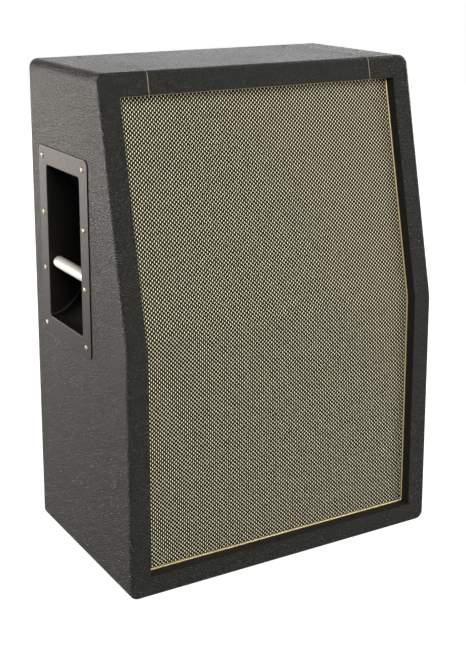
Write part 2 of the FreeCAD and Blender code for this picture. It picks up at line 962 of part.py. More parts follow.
def make_speakers():
    """Both drivers, each piece placed on the axis of its own baffle."""
    flats = speaker_flats
    gasket_back = flange_z + paper_thickness
    coil_end = magnet_z - coil_overhang
    coil_inner = pole_radius + coil_gap
    plate_bore = coil_outer_radius + coil_gap
    screw = low_head_screw(speaker_screw_length)
    spots = speaker_screw_spots(flange_z - speaker_sheet)
    screws = [set_at(screw, spot, vector(0, 0, -1)) for spot in spots]
    pieces = {
        "gasket": ring(gasket_outer_radius, gasket_inner_radius, gasket_back, 0, flats),
        "basket": speaker_basket(),
        "surround": speaker_surround(),
        "spider": speaker_spider(),
        "cone": folded_ring(
            [(cone_radius, cone_edge_z), (coil_outer_radius, cone_neck_z)]
        ),
        "dust_cap": speaker_dust_cap(),
        "voice_coil": ring(coil_outer_radius, coil_inner, coil_end, cone_neck_z, flats),
        "front_plate": ring(front_plate_radius, plate_bore, magnet_z, front_plate_z, flats),
        "magnet": ring(magnet_radius, magnet_bore_radius, back_plate_z, magnet_z, flats),
        "back_plate": speaker_back_plate(),
        "speaker_screws": Part.makeCompound(screws),
    }
    parts = {}
    for name, place in speaker_places().items():
        for piece, shape in pieces.items():
            copy = shape.copy()
            copy.Placement = place
            parts[name + "_" + piece] = copy
    return parts


def main():
    """Model every piece and write one file for each node."""
    makers = [
        make_coverings,
        make_panels,
        make_front_battens,
        make_baffles,
        make_grille,
        make_rear,
        make_handles,
        make_rear_screws,
        make_baffle_screws,
        make_feet,
        make_jack,
        make_speakers,
    ]
    os.makedirs("parts", exist_ok=True)
    for maker in makers:
        for name, shape in maker().items():
            shape.exportStep("parts/" + name + ".step")


main()
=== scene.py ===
import json
import math

import bmesh
import bpy
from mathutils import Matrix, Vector


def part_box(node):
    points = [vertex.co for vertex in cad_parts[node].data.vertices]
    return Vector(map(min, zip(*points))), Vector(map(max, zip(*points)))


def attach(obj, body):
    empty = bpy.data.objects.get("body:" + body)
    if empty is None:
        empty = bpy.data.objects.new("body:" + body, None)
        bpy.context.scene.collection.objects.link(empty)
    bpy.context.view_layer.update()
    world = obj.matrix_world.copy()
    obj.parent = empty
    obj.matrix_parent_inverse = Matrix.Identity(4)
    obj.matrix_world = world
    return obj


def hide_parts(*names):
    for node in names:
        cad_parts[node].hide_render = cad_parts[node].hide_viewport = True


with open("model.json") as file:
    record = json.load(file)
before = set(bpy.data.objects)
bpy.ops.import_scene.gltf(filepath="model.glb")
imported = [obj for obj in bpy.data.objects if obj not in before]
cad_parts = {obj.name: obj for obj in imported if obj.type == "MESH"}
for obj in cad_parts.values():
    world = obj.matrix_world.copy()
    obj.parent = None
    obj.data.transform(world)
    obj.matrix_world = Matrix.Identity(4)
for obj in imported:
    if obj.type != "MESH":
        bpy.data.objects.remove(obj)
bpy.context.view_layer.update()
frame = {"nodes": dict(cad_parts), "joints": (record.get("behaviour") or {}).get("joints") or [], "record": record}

bl_info = {
    "name": "Slant-front speaker cabinet",
    "version": (1, 0, 0),
    "blender": (4, 5, 0),
    "location": "View3D > Sidebar > Cabinet",
    "description": "Dresses the packed speaker cabinet: covering, grille, handles, rear and drivers",
    "category": "Add Mesh",
}

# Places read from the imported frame, in metres: +Z up, the grille faces -Y
LEFT_LOW, LEFT_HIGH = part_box("left_covering")
DISH_LOW, DISH_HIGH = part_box("left_handle_dish")
GRIP_LOW, GRIP_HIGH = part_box("left_handle_grip")
REAR_LOW, REAR_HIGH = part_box("rear_panel")
JACK_LOW, JACK_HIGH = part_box("jack_plate")
CLOTH_LOW, CLOTH_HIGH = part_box("grille_cloth")
UPPER_AXIS = next(j["axis"] for j in frame["joints"] if j["name"] == "upper_cone_travel")
LEAN = math.atan2(UPPER_AXIS[2], -UPPER_AXIS[1])
FRONT = LEFT_LOW.y
REAR = LEFT_HIGH.y
BASE = LEFT_LOW.z
TOP = LEFT_HIGH.z
HALF_WIDTH = -LEFT_LOW.x
HANDLE = (DISH_LOW + DISH_HIGH) / 2
JACK = (JACK_LOW + JACK_HIGH) / 2

# Both handles with the side they are on, and the body that carries every piece made here
HANDS = (("left_handle", -1), ("right_handle", 1))
ROOT = "cabinet"

# Steps round the recess's edge and round the front rim, and the distance that counts as none
LIP_STEPS = 4
RIM_STEPS = 7
CLOSE = 1e-6


def length(label, words, default):
    """A size that a user can change, in metres."""
    return bpy.props.FloatProperty(
        name=label, description=words, default=default, unit="LENGTH", subtype="DISTANCE", precision=4
    )


def colour(label, words, default):
    """A colour that a user can change, in linear light."""
    return bpy.props.FloatVectorProperty(
        name=label, description=words, default=default, size=3, min=0, max=1, subtype="COLOR"
    )


class CabinetSizes(bpy.types.PropertyGroup):
    """Sizes of the visible pieces."""

    corner: length("Corner radius", "Round of the four long corners", 0.0135)
    front_rim: length("Front rim", "Round of the front rim", 0.006)
    rear_rim: length("Rear rim", "Round of the rear rim", 0.004)
    skin: length("Covering", "Thickness of the covering", 0.001)
    bend: length("Bend", "Half length of the soft bend across the front", 0.004)
    seam: length("Seam", "Distance of each seam from the middle", 0.189)
    seam_half: length("Seam half width", "Half the width of a seam's groove or ridge", 0.0014)
    groove: length("Seam groove", "Depth of the groove along a seam", 0.0005)
    ridge: length("Seam ridge", "Height of the ridge where a seam crosses the top", 0.0004)
    strip_width: length("Strip width", "Width of a seam strip", 0.0009)
    strip_rise: length("Strip rise", "How far a seam strip stands proud", 0.0004)
    strip_return: length("Strip return", "Length of a seam strip on the top", 0.003)
    break_height: length("Bend height", "Height where the front starts to lean", 0.392)
    opening_half: length("Opening half width", "Half the width of the grille opening", 0.233)
    opening_base: length("Opening base", "Height of the grille opening's lower edge", 0.046)
    opening_along: length("Opening slant", "Length of the opening up the leaning half", 0.346)
    opening_lip: length("Opening lip", "Round of the opening's edge", 0.0009)
    recess: length("Recess", "Depth of the grille behind the front", 0.019)
    piping: length("Piping", "Diameter of the piping", 0.003)
    weave_across: length("Weave across", "Width of one thread crossing", 0.00317)
    weave_up: length("Weave up", "Height of one thread crossing", 0.00322)
    rear_hole_half: length("Rear opening half width", "Half the width inside the rear rim", 0.245)
    plate_width: length("Handle plate width", "Width of a handle's plate", 0.178)
    plate_height: length("Handle plate height", "Height of a handle's plate", 0.294)
    plate_thickness: length("Handle plate", "Thickness of a handle's plate", 0.0015)
    plate_corner: length("Handle plate corner", "Corner radius of a handle's plate", 0.009)
    mouth_width: length("Mouth width", "Width of a handle's mouth", 0.12)
    mouth_height: length("Mouth height", "Height of a handle's mouth", 0.236)
    mouth_lip: length("Mouth lip", "Round of the mouth's edge", 0.002)
    pan_depth: length("Pan depth", "Depth of a handle's pan", 0.07)
    pan_round: length("Pan round", "Round between the pan's floor and its end walls", 0.0045)
    cutout_margin: length("Cut-out margin", "Room round the pan in the side", 0.0022)
    grip_radius: length("Grip radius", "Radius of a handle's bar", 0.009)
    grip_end: length("Grip end", "Radius of the bar where it meets the pan", 0.005)
    grip_shoulder: length("Grip shoulder", "Length of the round at each end of the bar", 0.006)
    screw_margin: length("Screw margin", "Distance of the handle screws from the plate's edge", 0.0152)
    screw_head: length("Screw head", "Radius of a handle screw's head", 0.0044)
    screw_dome: length("Screw dome", "Height of a handle screw's head", 0.0022)
    foot_inset: length("Foot inset", "Distance of a foot from the sides", 0.072)
    foot_radius: length("Foot radius", "Radius of a foot at its top", 0.019)
    foot_tip: length("Foot tip", "Radius of a foot on the floor", 0.016)
    foot_seat: length("Foot seat", "Thickness of a foot under its screw's head", 0.006)


class CabinetColours(bpy.types.PropertyGroup):
    """Colours of the finishes, in linear light."""

    vinyl: colour("Vinyl", "Embossed covering", (0.0138, 0.0138, 0.0104))
    # Painted shade: a dark brown that the walls of the grille's recess take in place of the vinyl, standing in for
    # the shadow in the recess
    lining: colour("Recess lining", "Walls of the grille's recess", (0.0078, 0.0048, 0.0008))
    gold: colour("Gold", "Piping round the grille", (0.68, 0.54, 0.29))
    # Painted shade: a darker, greyer copy of the piping's gold, so the seam strips look as dim as they do in their
    # light
    strip: colour("Seam strip", "Worn gold of the seam strips", (0.27, 0.24, 0.17))
    cream: colour("Cream", "Light thread of the grille", (0.97, 0.905, 0.66))
    dark: colour("Dark thread", "Dark thread of the grille", (0.012, 0.0098, 0.005))
    # Painted shade: a dark tan in the hollows between the threads that stands in for the shaded sides of the light
    # threads
    thread_side_shade: colour("Hollows", "Hollows between the grille's threads", (0.024, 0.0185, 0.008))
    paint: colour("Black paint", "Pressed steel of the handles and baskets", (0.0042, 0.0038, 0.0034))
    grip: colour("Grip", "Metal of the grips", (0.80, 0.79, 0.75))
    brass: colour("Brass", "Screws of the handles", (0.38, 0.33, 0.24))
    plywood: colour("Plywood", "Boards of the shell and baffles", (0.48, 0.32, 0.17))
    pine: colour("Pine", "Battens and brace", (0.58, 0.38, 0.19))
    paper: colour("Paper", "Cone, surround and dust cap", (0.028, 0.025, 0.022))
    zinc: colour("Zinc", "Jack plate and the plates of the motors", (0.46, 0.46, 0.45))


def sizes():
    return bpy.context.scene.cabinet_sizes


def colours():
    return bpy.context.scene.cabinet_colours


# Node helpers


def add_node(tree, kind, inputs=None, **settings):
    """A node with its settings; inputs gives a socket its value or the socket that feeds it."""
    made = tree.nodes.new(kind)
    for key, value in settings.items():
        setattr(made, key, value)
    for socket, value in (inputs or {}).items():
        if isinstance(value, bpy.types.NodeSocket):
            tree.links.new(value, made.inputs[socket])
        else:
            made.inputs[socket].default_value = value
    return made


def calc(tree, operation, first, second=0.0, kind="ShaderNodeMath"):
    """The output of a Math node, or of a Vector Math node where that is the kind."""
    return add_node(tree, kind, {0: first, 1: second}, operation=operation).outputs[0]


def picked(tree, choice, first, second):
    """The first value where the choice is 0, the second where it is 1."""
    return add_node(tree, "ShaderNodeMix", {0: choice, 2: first, 3: second}).outputs[0]


def ranged(tree, value, low, high, to_low, to_high):
    """A value stretched from one range to another, held inside it."""
    inputs = {0: value, 1: low, 2: high, 3: to_low, 4: to_high}
    return add_node(tree, "ShaderNodeMapRange", inputs, clamp=True).outputs[0]


def spread(tree, value, low, high):
    """A noise, most of which lies between 0.3 and 0.7, stretched between two values."""
    return ranged(tree, value, 0.3, 0.7, low, high)


def noise(tree, place, scale, detail, distortion=0.0):
    """The outputs of a Noise Texture."""
    inputs = {"Vector": place, "Scale": scale, "Detail": detail, "Distortion": distortion}
    return add_node(tree, "ShaderNodeTexNoise", inputs).outputs


def object_place(tree):
    """Where a point lies on its piece."""
    return add_node(tree, "ShaderNodeTexCoord").outputs["Object"]


# Shader groups


def new_group(name, inputs):
    """A shader group with named inputs; returns it with the sockets that bring them in."""
    tree = bpy.data.node_groups.new(name, "ShaderNodeTree")
    for label, default in inputs.items():
        socket = tree.interface.new_socket(label, in_out="INPUT", socket_type="NodeSocketFloat")
        socket.default_value = default
    return tree, tree.nodes.new("NodeGroupInput").outputs


def end_group(tree, outputs):
    """Puts out a group's values under their names."""
    for label in outputs:
        tree.interface.new_socket(label, in_out="OUTPUT", socket_type="NodeSocketFloat")
    add_node(tree, "NodeGroupOutput", outputs)
    return tree


def mottle_group(name):
    """Cloudy unevenness and fine grain, for any finish."""
    tree, given = new_group(name, {"Cloud Scale": 9.0, "Grain Scale": 400.0})
    place = object_place(tree)
    cloud = noise(tree, place, given["Cloud Scale"], 4.0)[0]
    grain = noise(tree, place, given["Grain Scale"], 3.0)[0]
    return end_group(tree, {"Cloud": cloud, "Grain": grain})


def pebble_group(name):
    """The pebbled emboss of the covering: raised cells with creases between them."""
    reach = 0.004
    dome_edge = 0.28
    crease_edge = 0.12
    tree, given = new_group(name, {"Cell Scale": 420.0})
    place = object_place(tree)
    warp = noise(tree, place, 160.0, 3.0)["Color"]
    shift = calc(tree, "MULTIPLY", warp, (reach, reach, reach), "ShaderNodeVectorMath")
    moved = calc(tree, "ADD", place, shift, "ShaderNodeVectorMath")
    inputs = {"Vector": moved, "Scale": given["Cell Scale"], "Randomness": 1.0}
    cells = add_node(tree, "ShaderNodeTexVoronoi", inputs, feature="DISTANCE_TO_EDGE").outputs["Distance"]
    dome = ranged(tree, cells, 0.0, dome_edge, 0.0, 1.0)
    fine = noise(tree, place, 900.0, 2.0)[0]
    height = calc(tree, "ADD", dome, calc(tree, "MULTIPLY", fine, 0.35))
    crease = ranged(tree, cells, 0.0, crease_edge, 1.0, 0.0)
    return end_group(tree, {"Height": height, "Crease": crease})


def recess_group(name):
    """A mask of the walls of the grille's recess, which lie inside a box across and up."""
    tree, given = new_group(name, {"Half Width": 0.2, "Base": 0.0, "Top": 1.0})
    split = add_node(tree, "ShaderNodeSeparateXYZ", {0: object_place(tree)}).outputs
    between = calc(tree, "LESS_THAN", calc(tree, "ABSOLUTE", split[0]), given["Half Width"])
    above = calc(tree, "GREATER_THAN", split[2], given["Base"])
    below = calc(tree, "LESS_THAN", split[2], given["Top"])
    inside = calc(tree, "MULTIPLY", between, calc(tree, "MULTIPLY", above, below))
    return end_group(tree, {"Inside": inside})


def off_middle(tree, way):
    """How far a place lies from the middle of its thread crossing."""
    return calc(tree, "ABSOLUTE", calc(tree, "SUBTRACT", calc(tree, "FRACT", way), 0.5))


def arch(tree, way, fall):
    """A height that falls with the square of the way from the middle."""
    return calc(tree, "SUBTRACT", 1.0, calc(tree, "MULTIPLY", calc(tree, "MULTIPLY", way, way), fall))


def weave_group(name):
    """A plain weave on the piece's own UV map in metres: light threads run up, dark ones across."""
    light_half = 0.222
    dark_half = 0.40
    thread_reach = 0.58
    tree, given = new_group(name, {"Across": 0.00317, "Up": 0.00322})
    place = add_node(tree, "ShaderNodeUVMap", uv_map="cloth").outputs[0]
    split = add_node(tree, "ShaderNodeSeparateXYZ", {0: place}).outputs
    column = calc(tree, "DIVIDE", split[0], given["Across"])
    row = calc(tree, "DIVIDE", split[1], given["Up"])
    crossing = calc(tree, "ADD", calc(tree, "FLOOR", column), calc(tree, "FLOOR", row))
    dark_over = calc(tree, "FLOORED_MODULO", crossing, 2.0)
    light_over = calc(tree, "SUBTRACT", 1.0, dark_over)
    off_x = off_middle(tree, column)
    off_y = off_middle(tree, row)
    aside = picked(tree, dark_over, off_x, off_y)
    ahead = picked(tree, dark_over, off_y, off_x)
    half_width = ranged(tree, dark_over, 0.0, 1.0, light_half, dark_half)
    edge = calc(tree, "POWER", calc(tree, "DIVIDE", aside, half_width), 2.0)
    tip = calc(tree, "POWER", calc(tree, "DIVIDE", ahead, thread_reach), 4.0)
    thread = ranged(tree, calc(tree, "ADD", edge, tip), 0.5, 1.2, 1.0, 0.0)
    outputs = {
        "Light Thread": calc(tree, "MULTIPLY", thread, light_over),
        "Dark Thread": calc(tree, "MULTIPLY", thread, dark_over),
        "Height": calc(tree, "MULTIPLY", arch(tree, aside, 4.0), arch(tree, ahead, 2.4)),
        "Strand": noise(tree, place, 2600.0, 2.0)[0],
    }
    return end_group(tree, outputs)


def wood_group(name):
    """Long grain with darker late wood, along X."""
    tree, given = new_group(name, {"Line Scale": 60.0})
    inputs = {"Vector": object_place(tree), "Scale": (0.05, 1.0, 1.0)}
    stretched = add_node(tree, "ShaderNodeMapping", inputs).outputs[0]
    lines = noise(tree, stretched, given["Line Scale"], 6.0, 0.6)[0]
    pores = noise(tree, stretched, 700.0, 2.0)[0]
    return end_group(tree, {"Tone": lines, "Height": pores})


GROUPS = {
    "uneven_finish": mottle_group,
    "pebble_emboss": pebble_group,
    "recess_walls": recess_group,
    "two_colour_weave": weave_group,
    "long_grain": wood_group,
}


def use_group(tree, name, **values):
    """A shared group placed in a material with its own values; it is built on first use."""
    made = tree.nodes.new("ShaderNodeGroup")
    made.node_tree = bpy.data.node_groups.get(name) or GROUPS[name](name)
    for label, value in values.items():
        made.inputs[label.replace("_", " ")].default_value = value
    return made.outputs


# Finishes


def new_material(name):
    """An empty material; returns it with its tree and its shader's sockets."""
    made = bpy.data.materials.new(name)
    made.use_nodes = True
    tree = made.node_tree
    return made, tree, tree.nodes["Principled BSDF"].inputs


def tinted(tree, mask, first, second):
    """A colour between two others, by a mask; each of them is a colour or a socket."""
    ends = [end if isinstance(end, bpy.types.NodeSocket) else (*end, 1.0) for end in (first, second)]
    inputs = {0: mask, 6: ends[0], 7: ends[1]}
    return add_node(tree, "ShaderNodeMix", inputs, data_type="RGBA").outputs[2]


def scaled(base, factor):
    """A colour made lighter or darker."""
    return tuple(min(1.0, part * factor) for part in base)


def coat(tree, shader, tone, rough, height, depth):
    """Joins a shader to its colour, its roughness and its relief of a given depth in metres."""
    inputs = {"Height": height, "Distance": depth, "Strength": 1.0}
    relief = add_node(tree, "ShaderNodeBump", inputs).outputs[0]
    for label, value in (("Base Color", tone), ("Roughness", rough), ("Normal", relief)):
        tree.links.new(value, shader[label])


def plain_finish(name, base, rough, metal, cloud, grain, vary=0.25, relief=0.00005, shine=0.5):
    """A finish with cloudy colour, uneven gloss and fine grain; shine is the strength of its reflection."""
    uneven_gloss = 0.08
    made, tree, shader = new_material(name)
    uneven = use_group(tree, "uneven_finish", Cloud_Scale=cloud, Grain_Scale=grain)
    tone = tinted(tree, uneven["Cloud"], scaled(base, 1 - vary), scaled(base, 1 + vary))
    low = max(0.05, rough - uneven_gloss)
    gloss = spread(tree, uneven["Grain"], low, min(1.0, rough + uneven_gloss))
    shader["Metallic"].default_value = metal
    shader["Specular IOR Level"].default_value = shine
    coat(tree, shader, tone, gloss, uneven["Grain"], relief)
    return made


def recess_mask(tree):
    """1 on the walls of the grille's recess, and 0 elsewhere."""
    chosen = sizes()
    slack = chosen.opening_lip / 2
    limits = {
        "Half_Width": chosen.opening_half + slack,
        "Base": chosen.opening_base - slack,
        "Top": opening_top() + slack,
    }
    return use_group(tree, "recess_walls", **limits)["Inside"]


def vinyl_finish(name, base, cell, relief, lining=None):
    """Embossed vinyl: pebbles that break up the gloss; the creases, and the recess walls where a recess colour is
    given, are duller and darkened with painted shade.
    """
    recess_wall_rough = 0.9
    made, tree, shader = new_material(name)
    pebbles = use_group(tree, "pebble_emboss", Cell_Scale=cell)
    uneven = use_group(tree, "uneven_finish", Cloud_Scale=14.0, Grain_Scale=300.0)
    # Painted shade: the creases between the pebbles are darker, and the pebble tops lighter, than the vinyl's own
    # colour
    tone = tinted(tree, pebbles["Crease"], scaled(base, 1.15), scaled(base, 0.55))
    gloss = spread(tree, uneven["Cloud"], 0.36, 0.40)
    rough = calc(tree, "ADD", gloss, calc(tree, "MULTIPLY", pebbles["Crease"], 0.35))
    if lining:
        walls = recess_mask(tree)
        # Painted shade: the recess walls take a darker colour that stands in for the shadow there
        tone = tinted(tree, walls, tone, lining)
        rough = calc(tree, "MAXIMUM", rough, calc(tree, "MULTIPLY", walls, recess_wall_rough))
    coat(tree, shader, tone, rough, pebbles["Height"], relief)
    return made


def cloth_finish(name):
    """The woven grille cloth: light and dark threads, and painted shade in the hollows between them."""
    paints = colours()
    made, tree, shader = new_material(name)
    weave = use_group(tree, "two_colour_weave", Across=sizes().weave_across, Up=sizes().weave_up)
    uneven = use_group(tree, "uneven_finish", Cloud_Scale=30.0, Grain_Scale=900.0)
    fibre = spread(tree, weave["Strand"], 0.0, 1.0)
    bright = tinted(tree, fibre, scaled(paints.cream, 0.86), scaled(paints.cream, 1.08))
    # Painted shade: where no thread lies on top, the hollows take the dark tan that stands in for the threads'
    # shaded sides
    lit = tinted(tree, weave["Light Thread"], paints.thread_side_shade, bright)
    tone = tinted(tree, weave["Dark Thread"], lit, paints.dark)
    shader["Specular IOR Level"].default_value = 0.08
    coat(tree, shader, tone, spread(tree, uneven["Grain"], 0.7, 0.9), weave["Height"], 0.0006)
    return made


def wood_finish(name, base, line):
    """Bare wood with its grain along X."""
    made, tree, shader = new_material(name)
    grain = use_group(tree, "long_grain", Line_Scale=line)
    late = ranged(tree, grain["Tone"], 0.35, 0.65, 0.0, 1.0)
    tone = tinted(tree, late, scaled(base, 0.72), scaled(base, 1.12))
    coat(tree, shader, tone, spread(tree, grain["Tone"], 0.75, 0.6), grain["Height"], 0.0001)
    return made


def finish(slot):
    """The material of a slot, made on first use."""
    name = "finish_" + slot
    known = bpy.data.materials.get(name)
    if known:
        return known
    paints = colours()
    black = paints.paint
    # A plain finish has its colour, roughness, metal, cloud scale, grain scale, variation and relief
    makers = {
        "black_vinyl": (vinyl_finish, paints.vinyl, 340.0, 0.0011, paints.lining),
        "black_board": (vinyl_finish, scaled(paints.vinyl, 0.8), 420.0, 0.0004),
        "woven_cloth": (cloth_finish,),
        "plywood": (wood_finish, paints.plywood, 60.0),
        "pine": (wood_finish, paints.pine, 35.0),
        "gold_trim": (plain_finish, paints.gold, 0.3, 0.5, 40.0, 900.0, 0.12),
        # Painted shade: the seam strips' finish is a darker copy of the piping's gold
        "worn_gold": (plain_finish, paints.strip, 0.42, 0.2, 60.0, 900.0, 0.2),
        "black_steel": (plain_finish, black, 0.54, 0.0, 20.0, 700.0, 0.15, 0.00005, 0.23),
        "grip_metal": (plain_finish, paints.grip, 0.5, 0.2, 30.0, 1200.0, 0.06),
        "brass_screw": (plain_finish, paints.brass, 0.38, 0.9, 300.0, 1500.0, 0.25),
        "dark_screw": (plain_finish, scaled(black, 1.6), 0.4, 0.6, 200.0, 1500.0),
        "rubber": (plain_finish, scaled(black, 0.9), 0.75, 0.0, 60.0, 1000.0),
        "bare_steel": (plain_finish, paints.zinc, 0.34, 0.9, 25.0, 1200.0, 0.12),
        "bright_steel": (plain_finish, scaled(paints.zinc, 1.7), 0.24, 1.0, 25.0, 1200.0, 0.1),
        "black_plastic": (plain_finish, black, 0.45, 0.0, 80.0, 1200.0),
        "gasket_foam": (plain_finish, black, 0.9, 0.0, 60.0, 1400.0, 0.3, 0.0002),
        "paper": (plain_finish, paints.paper, 0.85, 0.0, 40.0, 1100.0, 0.3, 0.0001),
        "treated_cloth": (plain_finish, (0.50, 0.30, 0.09), 0.7, 0.0, 50.0, 1800.0, 0.2, 0.0002),
        "copper_winding": (plain_finish, (0.55, 0.22, 0.08), 0.3, 0.9, 90.0, 1500.0),
        "ferrite": (plain_finish, (0.035, 0.035, 0.037), 0.6, 0.0, 50.0, 900.0),
    }
    maker, *values = makers[slot]
    return maker(name, *values)


# Pieces


def new_object(name, data):
    """An object in the scene."""
    made = bpy.data.objects.new(name, data)
    bpy.context.scene.collection.objects.link(made)
    return made


def smooth(mesh):
    for face in mesh.polygons:
        face.use_smooth = True


def clean_mesh(name, shape, merge=1e-7, facing=None):
    """A smooth mesh, its doubles merged and its faces outwards; facing is its widest face's way on X."""
    vertices, faces = shape
    mesh = bpy.data.meshes.new(name)
    mesh.from_pydata([tuple(v) for v in vertices], [], faces)
    work = bmesh.new()
    work.from_mesh(mesh)
    bmesh.ops.remove_doubles(work, verts=work.verts, dist=merge)
    bmesh.ops.recalc_face_normals(work, faces=work.faces)
    if facing:
        widest = max(work.faces, key=lambda face: face.calc_area() * (abs(face.normal.x) > 0.99))
        if widest.normal.x * facing < 0:
            bmesh.ops.reverse_faces(work, faces=work.faces)
    work.to_mesh(mesh)
    work.free()
    smooth(mesh)
    return mesh


def bake(piece):
    """Gives a piece the plain mesh that its modifiers make."""
    first = piece.data
    graph = bpy.context.evaluated_depsgraph_get()
    final = bpy.data.meshes.new_from_object(piece.evaluated_get(graph))
    piece.modifiers.clear()
    piece.data = final
    final.name = piece.name
    bpy.data.meshes.remove(first)
    return final


def declare(piece, node):
    """Hangs a piece on the cabinet's body and hides the node that it stands for."""
    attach(piece, ROOT)
    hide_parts(node)


def settle(name, mesh, slot, node, wall=0.0, look=None):
    """Puts a mesh in the scene for a node; wall is a thickness inwards, look a finish of its own."""
    piece = new_object(name, mesh)
    if wall:
        made = piece.modifiers.new("wall", "SOLIDIFY")
        made.thickness = wall
        made.offset = -1.0
        made.use_even_offset = True
    piece.modifiers.new("even_normals", "WEIGHTED_NORMAL").keep_sharp = True
    final = bake(piece)
    final.materials.clear()
    final.materials.append(finish(look or slot))
    declare(piece, node)
    return piece


def add_piece(name, shape, slot, node, wall=0.0, look=None):
    """A finished piece from a shape, which is a list of points and a list of faces."""
    settle(name, clean_mesh(name, shape), slot, node, wall, look)


# Shapes


def flatten(loops):
    return [point for loop in loops for point in loop]


def skin(loops, closed=False):
    """A shape of quads between closed loops of equal length; closed joins the last loop to the first."""
    count = len(loops[0])
    faces = []
    for low in range(len(loops) if closed else len(loops) - 1):
        start = low * count
        above = (low + 1) % len(loops) * count
        for index in range(count):
            after = (index + 1) % count
            faces.append((start + index, start + after, above + after, above + index))
    return flatten(loops), faces


def capped(loops):
    """A shape of closed loops with flat ends."""
    vertices, faces = skin(loops)
    count = len(loops[0])
    ends = [tuple(range(count)), tuple(range(len(vertices) - count, len(vertices)))]
    return vertices, faces + ends


def grid(rows):
    """A shape of quads between open rows of equal length."""
    count = len(rows[0])
    faces = []
    for row in range(len(rows) - 1):
        for column in range(count - 1):
            low = row * count + column
            faces.append((low, low + 1, low + count + 1, low + count))
    return flatten(rows), faces


def joined(shapes):
    """Several shapes as one."""
    vertices = []
    faces = []
    for more, sides in shapes:
        offset = len(vertices)
        vertices += more
        faces += [tuple(offset + index for index in side) for side in sides]
    return vertices, faces


def circle(radius, count, start=0.0):
    """Points round a circle."""
    angles = [start + 2 * math.pi * index / count for index in range(count)]
    return [(radius * math.cos(angle), radius * math.sin(angle)) for angle in angles]


def lathe(profile, segments):
    """Loops of a body turned about Z, from (radius, z) points."""
    return [[Vector((x, y, z)) for x, y in circle(radius, segments)] for radius, z in profile]


def outline(half, low, high, radius, crossings, ways, steps=8):
    """(across, up) points round a rectangle with round corners, always in the same order."""
    # Each corner has its middle, the angle where it starts and the points of the straight after it
    corners = (
        (half - radius, low + radius, -90, [(half, way) for way in ways]),
        (half - radius, high - radius, 0, [(x, high) for x in reversed(crossings)]),
        (radius - half, high - radius, 90, [(-half, way) for way in reversed(ways)]),
        (radius - half, low + radius, 180, []),
    )
    points = [(x, low) for x in crossings]
    for centre_x, centre_y, start, straight in corners:
        for index in range(steps + 1):
            angle = math.radians(start + 90 * index / steps)
            points.append((centre_x + radius * math.cos(angle), centre_y + radius * math.sin(angle)))
        points += straight
    return points


def upright(points, y, lift=0.0):
    """A loop in an upright plane, from (across, up) points."""
    return [Vector((x, y, lift + z)) for x, z in points]


def sweep(path, sideways, section, closed=False):
    """Loops of one section along a path; sideways is the section's first axis."""
    loops = []
    count = len(path)
    for index, point in enumerate(path):
        before = path[index - 1] if closed or index else point
        after = path[(index + 1) % count] if closed or index < count - 1 else point
        ahead = (after - before).normalized()
        across = (sideways - ahead * sideways.dot(ahead)).normalized()
        upward = ahead.cross(across)
        loops.append([point + across * a + upward * b for a, b in section])
    return loops


def quarter(steps):
    """Angles of a quarter turn, with both ends."""
    return [math.pi / 2 * index / steps for index in range(steps + 1)]


def quarter_round(radius, steps):
    """Pairs along a quarter round: the first grows from 0 to the radius, the second shrinks to 0."""
    return [(radius * (1 - math.cos(turn)), radius * (1 - math.sin(turn))) for turn in quarter(steps)]


# The bent front


def front_place(way, depth):
    """The (y, z) at a way up the front from the base, at a depth square behind it."""
    shift = depth * math.tan(LEAN / 2)
    lower = sizes().break_height - BASE
    if way <= lower:
        return FRONT + depth, BASE + way * (lower - shift) / lower
    along = way - lower
    along += shift * max(0.0, 1 - along / sizes().opening_along)
    y = FRONT + along * math.sin(LEAN) + depth * math.cos(LEAN)
    z = sizes().break_height + along * math.cos(LEAN) - depth * math.sin(LEAN)
    return y, z


def way_at(height, depth=0.0):
    """How far up the front the plane at a depth passes a height."""
    over = height - sizes().break_height
    if over <= 0:
        return height - BASE
    return sizes().break_height - BASE + (over + depth * math.sin(LEAN)) / math.cos(LEAN)


def seam_crossings():
    """Places across the width that the covering's loops need, with the seams' grooves."""
    inner = 0.06
    seam = sizes().seam
    edge = sizes().seam_half
    right = [inner, seam - edge, seam, seam + edge]
    return [-x for x in reversed(right)] + right


def side_heights():
    """Heights up the sides that the covering's loops need; the plain numbers keep its faces even."""
    chosen = sizes()
    half = chosen.mouth_height / 2 + chosen.cutout_margin
    low = HANDLE.z - half
    high = HANDLE.z + half
    bend = chosen.break_height
    return [0.12, 0.25, low, bend - chosen.bend, bend + chosen.bend, 0.5, high, 0.69]


def front_loop(half, low, high_way, radius, depth, crossings=None):
    """A closed loop on the front, given by its outline and its depth."""
    ways = [way_at(height) for height in side_heights()]
    points = outline(half, low - BASE, high_way, radius, crossings or seam_crossings(), ways)
    return [Vector((x, *front_place(way, depth))) for x, way in points]


def upright_loop(half, low, high, radius, y):
    """A closed loop of the covering in an upright plane."""
    return upright(outline(half, low, high, radius, seam_crossings(), side_heights()), y)


def opening_top():
    """Height of the opening's head, which runs back level."""
    return sizes().break_height + sizes().opening_along * math.cos(LEAN)


def opening_loop(grow, depth):
    """A loop round the grille opening, grown into the border."""
    corner = 0.0008
    chosen = sizes()
    high = way_at(opening_top() + grow, depth)
    return front_loop(chosen.opening_half + grow, chosen.opening_base - grow, high, corner + grow, depth)


def rim_loop(inset, depth):
    """A loop round the outside of the front, set in and set back."""
    high = way_at(TOP - inset, depth)
    return front_loop(HALF_WIDTH - inset, BASE + inset, high, sizes().corner - inset, depth)


# Covering


